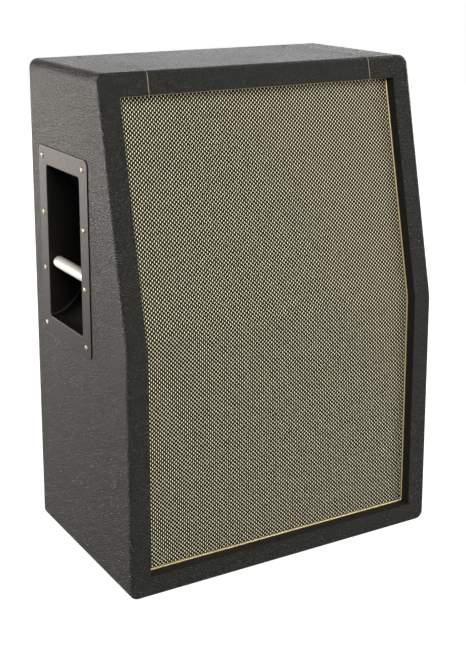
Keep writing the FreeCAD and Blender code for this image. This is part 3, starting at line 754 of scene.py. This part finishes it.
def covering_loops():
    """The loops of the whole skin, from the recess round the outside to the rear recess."""
    chosen = sizes()
    loops = [opening_loop(0.0, chosen.recess)]
    for grow, depth in quarter_round(chosen.opening_lip, LIP_STEPS):
        loops.append(opening_loop(grow, depth))
    for depth, inset in quarter_round(chosen.front_rim, RIM_STEPS):
        loops.append(rim_loop(inset, depth))
    half_hole = chosen.mouth_width / 2 + chosen.cutout_margin
    for y in (HANDLE.y - half_hole, HANDLE.y + half_hole):
        loops.append(upright_loop(HALF_WIDTH, BASE, TOP, chosen.corner, y))
    for inset, drop in quarter_round(chosen.rear_rim, 6):
        corner = chosen.corner - inset
        loops.append(upright_loop(HALF_WIDTH - inset, BASE + inset, TOP - inset, corner, REAR - drop))
    hole = chosen.rear_hole_half
    border = HALF_WIDTH - hole
    edge = 0.0015
    corner = 0.001
    tuck = 0.001
    steps = ((edge, REAR), (edge / 4, REAR - edge / 4), (0.0, REAR - edge), (0.0, REAR_LOW.y + tuck))
    for grow, y in steps:
        low = BASE + border - grow
        loops.append(upright_loop(hole + grow, low, TOP - border + grow, corner + grow, y))
    return loops


def covering_region(centre):
    """Which of the four pieces of covering a point belongs to."""
    if centre.x < -sizes().seam:
        return "left_covering"
    if centre.x > sizes().seam:
        return "right_covering"
    return "top_covering" if centre.z > sizes().break_height else "bottom_covering"


def in_handle_hole(centre):
    """Whether a point lies in the hole for a handle's pan."""
    on_side = abs(centre.x) > HALF_WIDTH - sizes().skin
    between = abs(centre.y - HANDLE.y) < sizes().mouth_width / 2
    return on_side and between and abs(centre.z - HANDLE.z) < sizes().mouth_height / 2


def build_covering():
    """The embossed covering, in its four pieces; its seams are grooves, and low ridges on the top."""
    chosen = sizes()
    vertices, faces = skin(covering_loops())
    work = bmesh.new()
    points = [work.verts.new(point) for point in vertices]
    for face in faces:
        work.faces.new([points[index] for index in face])
    bmesh.ops.recalc_face_normals(work, faces=work.faces)
    work.normal_update()
    for vertex in points:
        if abs(abs(vertex.co.x) - chosen.seam) < CLOSE:
            on_top = vertex.co.z > TOP - CLOSE and vertex.co.y > DISH_LOW.y
            vertex.co += vertex.normal * (chosen.ridge if on_top else -chosen.groove)
    regions = {}
    for face in work.faces:
        centre = face.calc_center_median()
        if not in_handle_hole(centre):
            regions.setdefault(covering_region(centre), []).append([v.co.copy() for v in face.verts])
    work.free()
    for node, quads in regions.items():
        faces = [tuple(range(4 * i, 4 * i + 4)) for i in range(len(quads))]
        add_piece(node + "_skin", (flatten(quads), faces), "black_vinyl", node, chosen.skin)


def build_seam_strips():
    """The gold strips in the two seams, from the grille up and over the front edge."""
    chosen = sizes()
    loops = covering_loops()
    front = loops[LIP_STEPS + 1]
    half = chosen.strip_width / 2
    rise = chosen.strip_rise
    section = [(-half, -rise), (-half, rise * 0.5), (-half * 0.6, rise), (half * 0.6, rise)]
    section += [(half, rise * 0.5), (half, -rise)]
    strips = []
    for side in (-1, 1):
        found = next(
            index
            for index, point in enumerate(front)
            if abs(point.x - side * chosen.seam) < CLOSE and point.z > chosen.break_height
        )
        path = [loop[found] for loop in loops[1:LIP_STEPS + RIM_STEPS + 2]]
        path.append(path[-1] + Vector((0, chosen.strip_return, 0)))
        strips.append(capped(sweep(path, Vector((1, 0, 0)), section)))
    # The strips take the darker gold, which is painted shade
    add_piece("seam_strip_pair", joined(strips), "gold_trim", "seam_strips", look="worn_gold")


# Grille


def build_cloth():
    """The grille cloth, stretched over the baffles and turned softly at the bend."""
    chosen = sizes()
    gap = 0.0002
    turn = 0.006
    thickness = 0.0006
    rows = 20
    columns = 14
    bend = chosen.break_height - BASE
    start = CLOTH_LOW.z - BASE
    end = way_at(CLOTH_HIGH.z, chosen.recess) - gap
    ways = [start + (bend - turn - start) * index / rows for index in range(rows)]
    ways += [bend + turn * step / 6 for step in range(-6, 7, 2)]
    ways += [bend + turn + (end - bend - turn) * index / rows for index in range(1, rows + 1)]
    width = 2 * CLOTH_HIGH.x
    across = [width * column / columns for column in range(columns + 1)]
    points = []
    for way in ways:
        y, z = front_place(way, chosen.recess + gap)
        points.append([(x - CLOTH_HIGH.x, y, z) for x in across])
    vertices, faces = grid(points)
    mesh = bpy.data.meshes.new("grille_weave")
    mesh.from_pydata(vertices, [], faces)
    smooth(mesh)
    chart = mesh.uv_layers.new(name="cloth")
    for loop in mesh.loops:
        row, column = divmod(loop.vertex_index, len(across))
        chart.data[loop.index].uv = (across[column], ways[row])
    piece = settle("grille_weave", mesh, "woven_cloth", "grille_cloth", thickness)


def build_piping():
    """The gold cord that lies in the corner of the recess, all round the cloth."""
    chosen = sizes()
    gap = 0.0001
    corner = 0.0026
    radius = chosen.piping / 2
    edge = radius + gap
    depth = chosen.recess - radius - gap
    high = way_at(opening_top() - edge, depth)
    crossings = [-0.15, 0.0, 0.15]
    path = front_loop(
        chosen.opening_half - edge, chosen.opening_base + edge, high, corner, depth, crossings
    )
    cord = sweep(path, Vector((0, -1, 0)), circle(radius, 12), closed=True)
    add_piece("grille_cord", skin(cord, True), "gold_trim", "grille_piping")


# Handles


def handle_point(side, out, y, z):
    """A point of a handle: outwards from the side of the cabinet, and from the handle's middle."""
    return Vector((side * (HALF_WIDTH + out), HANDLE.y + y, HANDLE.z + z))


def mouth_outline(grow):
    """(along, up) points round the mouth, grown outwards."""
    chosen = sizes()
    half = chosen.mouth_height / 2 + grow
    across = [-0.04, -0.015, 0.015, 0.04]
    up = [-0.09, -0.03, 0.03, 0.09]
    return outline(chosen.mouth_width / 2 + grow, -half, half, chosen.pan_round + grow, across, up)


def plate_outline(shrink):
    """(along, up) points round the plate, drawn inwards."""
    chosen = sizes()
    half = chosen.plate_height / 2 - shrink
    across = [-0.05, -0.02, 0.02, 0.05]
    up = [-0.10, -0.03, 0.03, 0.10]
    return outline(chosen.plate_width / 2 - shrink, -half, half, chosen.plate_corner - shrink, across, up)


def dish_plate_loops(side):
    """Loops from the mouth's edge over the lip and the plate's face to its outer edge."""
    face = sizes().plate_thickness
    edge = 0.0003
    under = 0.0001
    rings = [(face - drop, mouth_outline(grow)) for grow, drop in quarter_round(sizes().mouth_lip, 4)]
    rings += [(face - drop, plate_outline(shrink)) for drop, shrink in quarter_round(edge, 3)]
    rings.append((under, plate_outline(0.0)))
    return [[handle_point(side, out, y, z) for y, z in points] for out, points in rings]


def dish_pan(side, start):
    """The deep-drawn pan below the mouth: a curved floor with rounded ends."""
    chosen = sizes()
    steps = 28
    points = mouth_outline(0.0)
    half_width = chosen.mouth_width / 2
    half_height = chosen.mouth_height / 2
    straight = half_height - chosen.pan_round - CLOSE
    rows = []
    for y in sorted({round(y, 7) for y, z in points if z > straight}):
        end = max(0.0, abs(y) - (half_width - chosen.pan_round))
        inset = chosen.pan_round - math.sqrt(max(0.0, chosen.pan_round**2 - end**2))
        row = []
        for step in range(steps + 1):
            angle = math.pi * step / steps
            out = start - (chosen.pan_depth + start - inset) * math.sin(angle)
            row.append(handle_point(side, out, y, (half_height - inset) * math.cos(angle)))
        rows.append(row)
    vertices, faces = grid(rows)
    for first, way in ((0, -1), (len(vertices) - steps - 1, 1)):
        rim = [(y, z) for y, z in points if y * way > half_width - CLOSE and abs(z) < straight]
        corners = list(range(first, first + steps + 1))
        corners += range(len(vertices), len(vertices) + len(rim))
        vertices += [handle_point(side, start, y, z) for y, z in sorted(rim, key=lambda place: place[1])]
        faces.append(tuple(corners))
    return vertices, faces


def build_dishes():
    """Both pressed handle dishes: plate, lip and pan in one sheet of steel."""
    sheet = 0.0011
    merge = 2e-5
    start = sizes().plate_thickness - sizes().mouth_lip
    for hand, side in HANDS:
        node = hand + "_dish"
        shape = joined([skin(dish_plate_loops(side)), dish_pan(side, start)])
        mesh = clean_mesh(node, shape, merge, side)
        settle(node + "_pressing", mesh, "black_steel", node, sheet)


def build_grips():
    """Both grips: a round bar between the end walls of the pan, rounded off at its ends."""
    chosen = sizes()
    segments = 48
    middle = (GRIP_LOW + GRIP_HIGH) / 2
    half = (GRIP_HIGH.y - GRIP_LOW.y) / 2
    swell = chosen.grip_radius - chosen.grip_end
    shoulder = []
    for angle in quarter(8):
        along = half - chosen.grip_shoulder * (1 - math.cos(angle))
        shoulder.append((chosen.grip_end + swell * math.sin(angle), along))
    bar = lathe(shoulder + [(radius, -along) for radius, along in reversed(shoulder)], segments)
    for hand, side in HANDS:
        loops = []
        for ring in bar:
            loops.append([Vector((side * (p.x - middle.x), middle.y + p.z, middle.z + p.y)) for p in ring])
        add_piece(hand + "_grip_bar", capped(loops), "grip_metal", hand + "_grip")


# Screws, placed by geometry nodes


def screw_shape(name, radius, rise):
    """One screw standing on Z = 0: a domed head with a cross recess, and its shank."""
    segments = 24
    arm = segments // 4
    shank = 0.002
    depth = 0.012
    under = -0.0001
    sink = rise * 0.42
    profile = [(radius * math.sin(angle), rise * math.cos(angle)) for angle in quarter(6)]
    profile[0] = (radius * 0.04, rise)
    profile += [(radius, under), (shank, under), (shank, -depth * 0.8), (shank * 0.15, -depth)]
    loops = lathe(profile, segments)
    for ring in loops[:3]:
        for index, point in enumerate(ring):
            if index % arm in (0, 1, arm - 1):
                point.z -= sink
    return clean_mesh(name, capped(loops))


def scatter_tree():
    """A tree that puts one shape on every point, turned to the point's own direction."""
    name = "fasteners_on_points"
    tree = bpy.data.node_groups.get(name)
    if tree:
        return tree
    tree = bpy.data.node_groups.new(name, "GeometryNodeTree")
    sockets = {"Geometry": "Geometry", "Fastener": "Object", "Finish": "Material", "Seed": "Int"}
    for label, kind in sockets.items():
        tree.interface.new_socket(label, in_out="INPUT", socket_type="NodeSocket" + kind)
    tree.interface.new_socket("Geometry", in_out="OUTPUT", socket_type="NodeSocketGeometry")
    given = tree.nodes.new("NodeGroupInput").outputs

    def put(kind, inputs, **settings):
        return add_node(tree, kind, inputs, **settings).outputs

    shape = put("GeometryNodeObjectInfo", {"Object": given["Fastener"]})["Geometry"]
    stored = put("GeometryNodeInputNamedAttribute", {"Name": "facing"}, data_type="FLOAT_VECTOR")
    turned = put("FunctionNodeAlignRotationToVector", {"Vector": stored["Attribute"]}, axis="Z")[0]
    spin = put("FunctionNodeRandomValue", {"Max": math.pi / 2, "Seed": given["Seed"]}, data_type="FLOAT")[1]
    twist = put("FunctionNodeAxisAngleToRotation", {"Axis": (0, 0, 1), "Angle": spin})[0]
    both = put("FunctionNodeRotateRotation", {0: turned, 1: twist}, rotation_space="LOCAL")[0]
    inputs = {"Points": given["Geometry"], "Instance": shape, "Rotation": both}
    placed = put("GeometryNodeInstanceOnPoints", inputs)[0]
    solid = put("GeometryNodeRealizeInstances", {0: placed})[0]
    coated = put("GeometryNodeSetMaterial", {"Geometry": solid, "Material": given["Finish"]})[0]
    put("NodeGroupOutput", {0: coated})
    return tree


def scatter(node, points, way, shape, slot):
    """A piece of like fasteners that stand on points and all face one way."""
    name = node + "_set"
    mesh = bpy.data.meshes.new(name + "_points")
    mesh.from_pydata([tuple(point) for point in points], [], [])
    facing = mesh.attributes.new("facing", "FLOAT_VECTOR", "POINT")
    for entry in facing.data:
        entry.vector = way
    holder = bpy.data.objects.new(name + "_shape", shape)
    carrier = new_object(name, mesh)
    tree = scatter_tree()
    made = carrier.modifiers.new("fasteners", "NODES")
    made.node_group = tree
    values = {"Fastener": holder, "Finish": finish(slot), "Seed": len(points)}
    for socket in tree.interface.items_tree:
        if socket.in_out == "INPUT" and socket.name in values:
            made[socket.identifier] = values[socket.name]
    bake(carrier)
    bpy.data.objects.remove(holder)
    declare(carrier, node)


def build_screws():
    """The handle, rear panel, jack plate and foot screws."""
    chosen = sizes()
    head = 0.0045
    dome = 0.0022
    brass = screw_shape("brass_screw_shape", chosen.screw_head, chosen.screw_dome)
    dark = screw_shape("dark_screw_shape", head, dome)
    across = chosen.plate_width / 2 - chosen.screw_margin
    high = chosen.plate_height / 2 - chosen.screw_margin
    heights = [high - row * 2 * high / 3 for row in range(4)]
    for hand, side in HANDS:
        out = chosen.plate_thickness
        points = [handle_point(side, out, y, z) for y in (-across, across) for z in heights]
        scatter(hand + "_screws", points, (side, 0, 0), brass, "brass_screw")
    back = (0, 1, 0)
    low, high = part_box("rear_panel_screws")
    columns = (low.x + head, 0.0, high.x - head)
    rows = (low.z + head, (low.z + high.z) / 2, high.z - head)
    points = [(x, REAR_HIGH.y, z) for x in columns for z in rows]
    scatter("rear_panel_screws", points, back, dark, "dark_screw")
    margin = 0.007
    columns = (JACK_LOW.x + margin, JACK_HIGH.x - margin)
    rows = (JACK_LOW.z + margin, JACK_HIGH.z - margin)
    points = [(x, JACK_HIGH.y, z) for x in columns for z in rows]
    scatter("jack_plate_screws", points, back, dark, "dark_screw")
    points = [(x, y, BASE - chosen.foot_seat) for x, y in foot_places()]
    scatter("foot_screws", points, (0, 0, -1), dark, "dark_screw")


# Feet and rear


def foot_places():
    """Where the feet stand."""
    inset = sizes().foot_inset
    columns = (inset - HALF_WIDTH, HALF_WIDTH - inset)
    return [(x, y) for x in columns for y in (FRONT + inset, REAR - inset)]


def build_feet():
    """Four rubber feet, tapered and rounded, with a recess for the screw."""
    hole = 0.0023
    well = 0.007
    collar = 0.002
    segments = 40
    top = sizes().foot_radius
    tip = sizes().foot_tip
    seat = BASE - sizes().foot_seat
    profile = [(hole, BASE), (top, BASE), (top, BASE - collar)]
    profile += [(tip + 0.0012, 0.0016), (tip + 0.0008, 0.0006), (tip, 0.0)]
    profile += [(well + 0.0012, 0.0), (well + 0.0002, 0.0005), (well, 0.0012), (well, seat), (hole, seat)]
    foot, faces = skin(lathe(profile, segments), True)
    feet = [([point + Vector((x, y, 0)) for point in foot], faces) for x, y in foot_places()]
    add_piece("rubber_feet_set", joined(feet), "rubber", "rubber_feet")


def board_shape(hole, low, high, corner, soft, steps, across, rise):
    """A flat shape of the rear between the corners of its box, with a soft edge and a hole at the jack."""
    crossings = [-across, across]
    ways = [JACK.z - rise, JACK.z + rise]
    loops = [upright(hole, y, JACK.z) for y in (low.y, high.y)]
    for drop, inset in quarter_round(soft, steps):
        points = outline(high.x - inset, low.z + inset, high.z - inset, corner - inset, crossings, ways)
        loops.append(upright(points, high.y - drop))
    loops.append(upright(points, low.y))
    return skin(loops, True)


def build_rear_panel():
    """The rear board with softened edges, and the hole behind the jack plate."""
    soft = 0.0015
    corner = 0.004
    across = 0.018
    rise = 0.01
    hole_half = 0.026
    hole_tall = 0.014
    hole_corner = 0.002
    hole = outline(hole_half, -hole_tall, hole_tall, hole_corner, [-across, across], [-rise, rise])
    shape = board_shape(hole, REAR_LOW, REAR_HIGH, corner, soft, 4, across, rise)
    add_piece("rear_board", shape, "black_board", "rear_panel")


def build_jack_plate():
    """The jack plate, with a round hole for the socket's bush; the hole has as many points as the edge."""
    bore = 0.005
    count = 44
    edge = 0.0006
    corner = 0.006
    across = 0.02
    rise = 0.01
    hole = circle(bore, count, -math.pi / 2)
    shape = board_shape(hole, JACK_LOW, JACK_HIGH, corner, edge, 3, across, rise)
    add_piece("jack_plate_pressing", shape, "bare_steel", "jack_plate")


def stand_back(loops, y):
    """Loops modelled along Z, turned to point out of the rear in the jack's middle."""
    return [[Vector((JACK.x + p.x, y + p.z, JACK.z - p.y)) for p in loop] for loop in loops]


def build_socket():
    """The jack socket: a moulded body behind the plate, and the bush with its thread."""
    half = 0.010
    corner = 0.0015
    body = 0.024
    bore = 0.00325
    bush = 0.0047
    reach = 0.007
    ridges = 7
    thread_base = 0.0025
    thread_length = reach - 0.003
    thread_depth = 0.00025
    block = outline(half, -half, half, corner, [-half / 2, half / 2], [-half / 2, half / 2], 4)
    rim = [(x / math.hypot(x, y), y / math.hypot(x, y)) for x, y in block]

    def ring(radius, z):
        return [Vector((x * radius, y * radius, z)) for x, y in rim]

    loops = [ring(bore, -body)]
    loops += [[Vector((x, y, z)) for x, y in block] for z in (-body, 0.0)]
    loops.append(ring(bush, 0.0))
    for index in range(2 * ridges):
        z = thread_base + thread_length * index / (2 * ridges)
        loops.append(ring(bush - thread_depth * (index % 2), z))
    loops += [ring(bush - 0.0006, reach), ring(bore + 0.0004, reach), ring(bore, reach - 0.0005)]
    placed = stand_back(loops, JACK_LOW.y)
    add_piece("jack_socket_body", skin(placed, True), "black_plastic", "jack_socket")


def build_nut():
    """The hexagon nut with chamfered corners."""
    segments = 36
    flat = 0.0065
    tall = 0.0025
    bore = 0.005
    side = math.pi / 3
    corner = flat / math.cos(side / 2)

    def hexagon(radius, z):
        found = []
        for index in range(segments):
            angle = 2 * math.pi * index / segments
            off = (angle + side / 2) % side - side / 2
            reach = min(flat / math.cos(off), radius)
            found.append(Vector((reach * math.cos(angle), reach * math.sin(angle), z)))
        return found

    inner = lathe([(bore + 0.0002, tall), (bore, tall - 0.0003)], segments)
    loops = lathe([(bore, 0.0)], segments) + [hexagon(corner, 0.0), hexagon(corner, tall - 0.0005)]
    placed = stand_back(loops + [hexagon(flat * 1.01, tall)] + inner, JACK_HIGH.y)
    add_piece("jack_nut_hexagon", skin(placed, True), "bare_steel", "jack_nut", look="bright_steel")


def dress_inside():
    """The boards and drivers inside keep their own shapes and get their finishes."""
    slots = {entry["node"]: entry["material_slot"] for entry in frame["record"]["subparts"]}
    for node, shape in frame["nodes"].items():
        if not shape.hide_render:
            shape.data.materials.clear()
            shape.data.materials.append(finish(slots[node]))


# Stage


def build_floor():
    """A plain pale floor."""
    reach = 40.0
    glow = 0.95
    mesh = bpy.data.meshes.new("studio_floor")
    corners = [(-reach, -reach, 0), (reach, -reach, 0), (reach, reach, 0), (-reach, reach, 0)]
    mesh.from_pydata(corners, [], [(0, 1, 2, 3)])
    floor = new_object("studio_floor", mesh)
    made, tree, shader = new_material("pale_floor")
    shader["Base Color"].default_value = (0.32, 0.32, 0.32, 1)
    shader["Roughness"].default_value = 0.9
    shader["Emission Color"].default_value = (1, 1, 1, 1)
    seen = tree.nodes.new("ShaderNodeLightPath").outputs["Is Camera Ray"]
    tree.links.new(calc(tree, "MULTIPLY", seen, glow), shader["Emission Strength"])
    mesh.materials.append(made)


def facing_along(way):
    """The turn of a light or a camera that looks along a way."""
    return way.to_track_quat("-Z", "Y").to_euler()


def add_light(name, place, width, height, power, tint=(1, 1, 1)):
    """A soft rectangular light that looks at the middle of the cabinet."""
    middle = Vector((0, 0, 0.42))
    data = bpy.data.lights.new(name, "AREA")
    data.shape = "RECTANGLE"
    data.size = width
    data.size_y = height
    data.energy = power
    data.color = tint
    light = new_object(name, data)
    light.location = place
    light.rotation_euler = facing_along(middle - Vector(place))
    light.visible_camera = False


def build_lights():
    """Soft studio light: a key in front, softboxes behind, card and fill on the right, a white back."""
    ambient = 0.12
    add_light("key_softbox", (-1.0, -3.5, 2.8), 2.2, 2.2, 152, (1.0, 0.98, 0.94))
    add_light("side_softbox", (-2.0, 2.2, 0.42), 2.2, 0.66, 100, (1.0, 0.93, 0.88))
    add_light("front_card", (2.3, -3.0, 0.9), 2.2, 0.9, 60)
    add_light("back_softbox", (2.2, 4.2, 1.3), 3.2, 1.4, 48)
    add_light("right_fill", (2.8, 0.9, 1.3), 1.4, 1.4, 50)
    world = bpy.data.worlds.new("studio_white")
    world.use_nodes = True
    tree = world.node_tree
    back = tree.nodes["Background"].inputs
    back["Color"].default_value = (1, 1, 1, 1)
    seen = tree.nodes.new("ShaderNodeLightPath").outputs["Is Camera Ray"]
    tree.links.new(ranged(tree, seen, 0.0, 1.0, ambient, 1.0), back["Strength"])
    bpy.context.scene.world = world
    bpy.context.scene.view_settings.view_transform = "Standard"


def build_camera():
    """A camera at the photograph's viewing angle, with its lens and shift worked out for an image of 466 by 647
    pixels.
    """
    tall = 647
    focal = 1266
    axis_row = 213
    yaw = 0.531
    pitch = 0.221
    from_front = Vector((-0.973, -1.493, 0.942))
    data = bpy.data.cameras.new("photo_camera")
    data.sensor_fit = "AUTO"
    data.sensor_width = 36
    data.lens = focal / tall * data.sensor_width
    data.shift_y = (axis_row - tall / 2) / tall
    data.clip_end = 200
    camera = new_object("photo_camera", data)
    camera.location = from_front + Vector((0, FRONT, BASE))
    ahead = Vector((math.sin(yaw) * math.cos(pitch), math.cos(yaw) * math.cos(pitch), -math.sin(pitch)))
    camera.rotation_euler = facing_along(ahead)
    bpy.context.scene.camera = camera


# Operators and panel


class CABINET_OT_stage(bpy.types.Operator):
    """Make the floor, the lights and the camera."""

    bl_idname = "cabinet.make_stage"
    bl_label = "Stage"

    def execute(self, context):
        build_floor()
        build_lights()
        build_camera()
        return {"FINISHED"}


class CABINET_OT_covering(bpy.types.Operator):
    """Make the embossed covering and its seam strips."""

    bl_idname = "cabinet.make_covering"
    bl_label = "Covering"

    def execute(self, context):
        build_covering()
        build_seam_strips()
        return {"FINISHED"}


class CABINET_OT_grille(bpy.types.Operator):
    """Make the grille cloth and its piping."""

    bl_idname = "cabinet.make_grille"
    bl_label = "Grille"

    def execute(self, context):
        build_cloth()
        build_piping()
        return {"FINISHED"}


class CABINET_OT_handles(bpy.types.Operator):
    """Make the handle dishes and grips."""

    bl_idname = "cabinet.make_handles"
    bl_label = "Handles"

    def execute(self, context):
        build_dishes()
        build_grips()
        return {"FINISHED"}


class CABINET_OT_rear(bpy.types.Operator):
    """Make the rear board and the jack."""

    bl_idname = "cabinet.make_rear"
    bl_label = "Rear"

    def execute(self, context):
        build_rear_panel()
        build_jack_plate()
        build_socket()
        build_nut()
        return {"FINISHED"}


class CABINET_OT_feet(bpy.types.Operator):
    """Make the rubber feet."""

    bl_idname = "cabinet.make_feet"
    bl_label = "Feet"

    def execute(self, context):
        build_feet()
        return {"FINISHED"}


class CABINET_OT_screws(bpy.types.Operator):
    """Place every visible screw."""

    bl_idname = "cabinet.make_screws"
    bl_label = "Screws"

    def execute(self, context):
        build_screws()
        return {"FINISHED"}


class CABINET_OT_inside(bpy.types.Operator):
    """Finish the boards and drivers inside."""

    bl_idname = "cabinet.dress_inside"
    bl_label = "Inside"

    def execute(self, context):
        dress_inside()
        return {"FINISHED"}


STEPS = (
    CABINET_OT_stage,
    CABINET_OT_covering,
    CABINET_OT_grille,
    CABINET_OT_handles,
    CABINET_OT_rear,
    CABINET_OT_feet,
    CABINET_OT_screws,
    CABINET_OT_inside,
)


class CABINET_PT_sidebar(bpy.types.Panel):
    """Lists the steps that build the cabinet."""

    bl_label = "Speaker cabinet"
    bl_idname = "CABINET_PT_sidebar"
    bl_space_type = "VIEW_3D"
    bl_region_type = "UI"
    bl_category = "Cabinet"

    def draw(self, context):
        for step in STEPS:
            self.layout.operator(step.bl_idname)
        for group in (context.scene.cabinet_sizes, context.scene.cabinet_colours):
            for name in group.__annotations__:
                self.layout.prop(group, name)


CLASSES = (CabinetSizes, CabinetColours) + STEPS + (CABINET_PT_sidebar,)


def register():
    for known in CLASSES:
        bpy.utils.register_class(known)
    bpy.types.Scene.cabinet_sizes = bpy.props.PointerProperty(type=CabinetSizes)
    bpy.types.Scene.cabinet_colours = bpy.props.PointerProperty(type=CabinetColours)


def unregister():
    del bpy.types.Scene.cabinet_colours
    del bpy.types.Scene.cabinet_sizes
    for known in reversed(CLASSES):
        bpy.utils.unregister_class(known)


def main():
    """Registers the add-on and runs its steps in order."""
    register()
    bpy.ops.cabinet.make_stage()
    bpy.ops.cabinet.make_covering()
    bpy.ops.cabinet.make_grille()
    bpy.ops.cabinet.make_handles()
    bpy.ops.cabinet.make_rear()
    bpy.ops.cabinet.make_feet()
    bpy.ops.cabinet.make_screws()
    bpy.ops.cabinet.dress_inside()


if __name__ == "__main__":
    main()
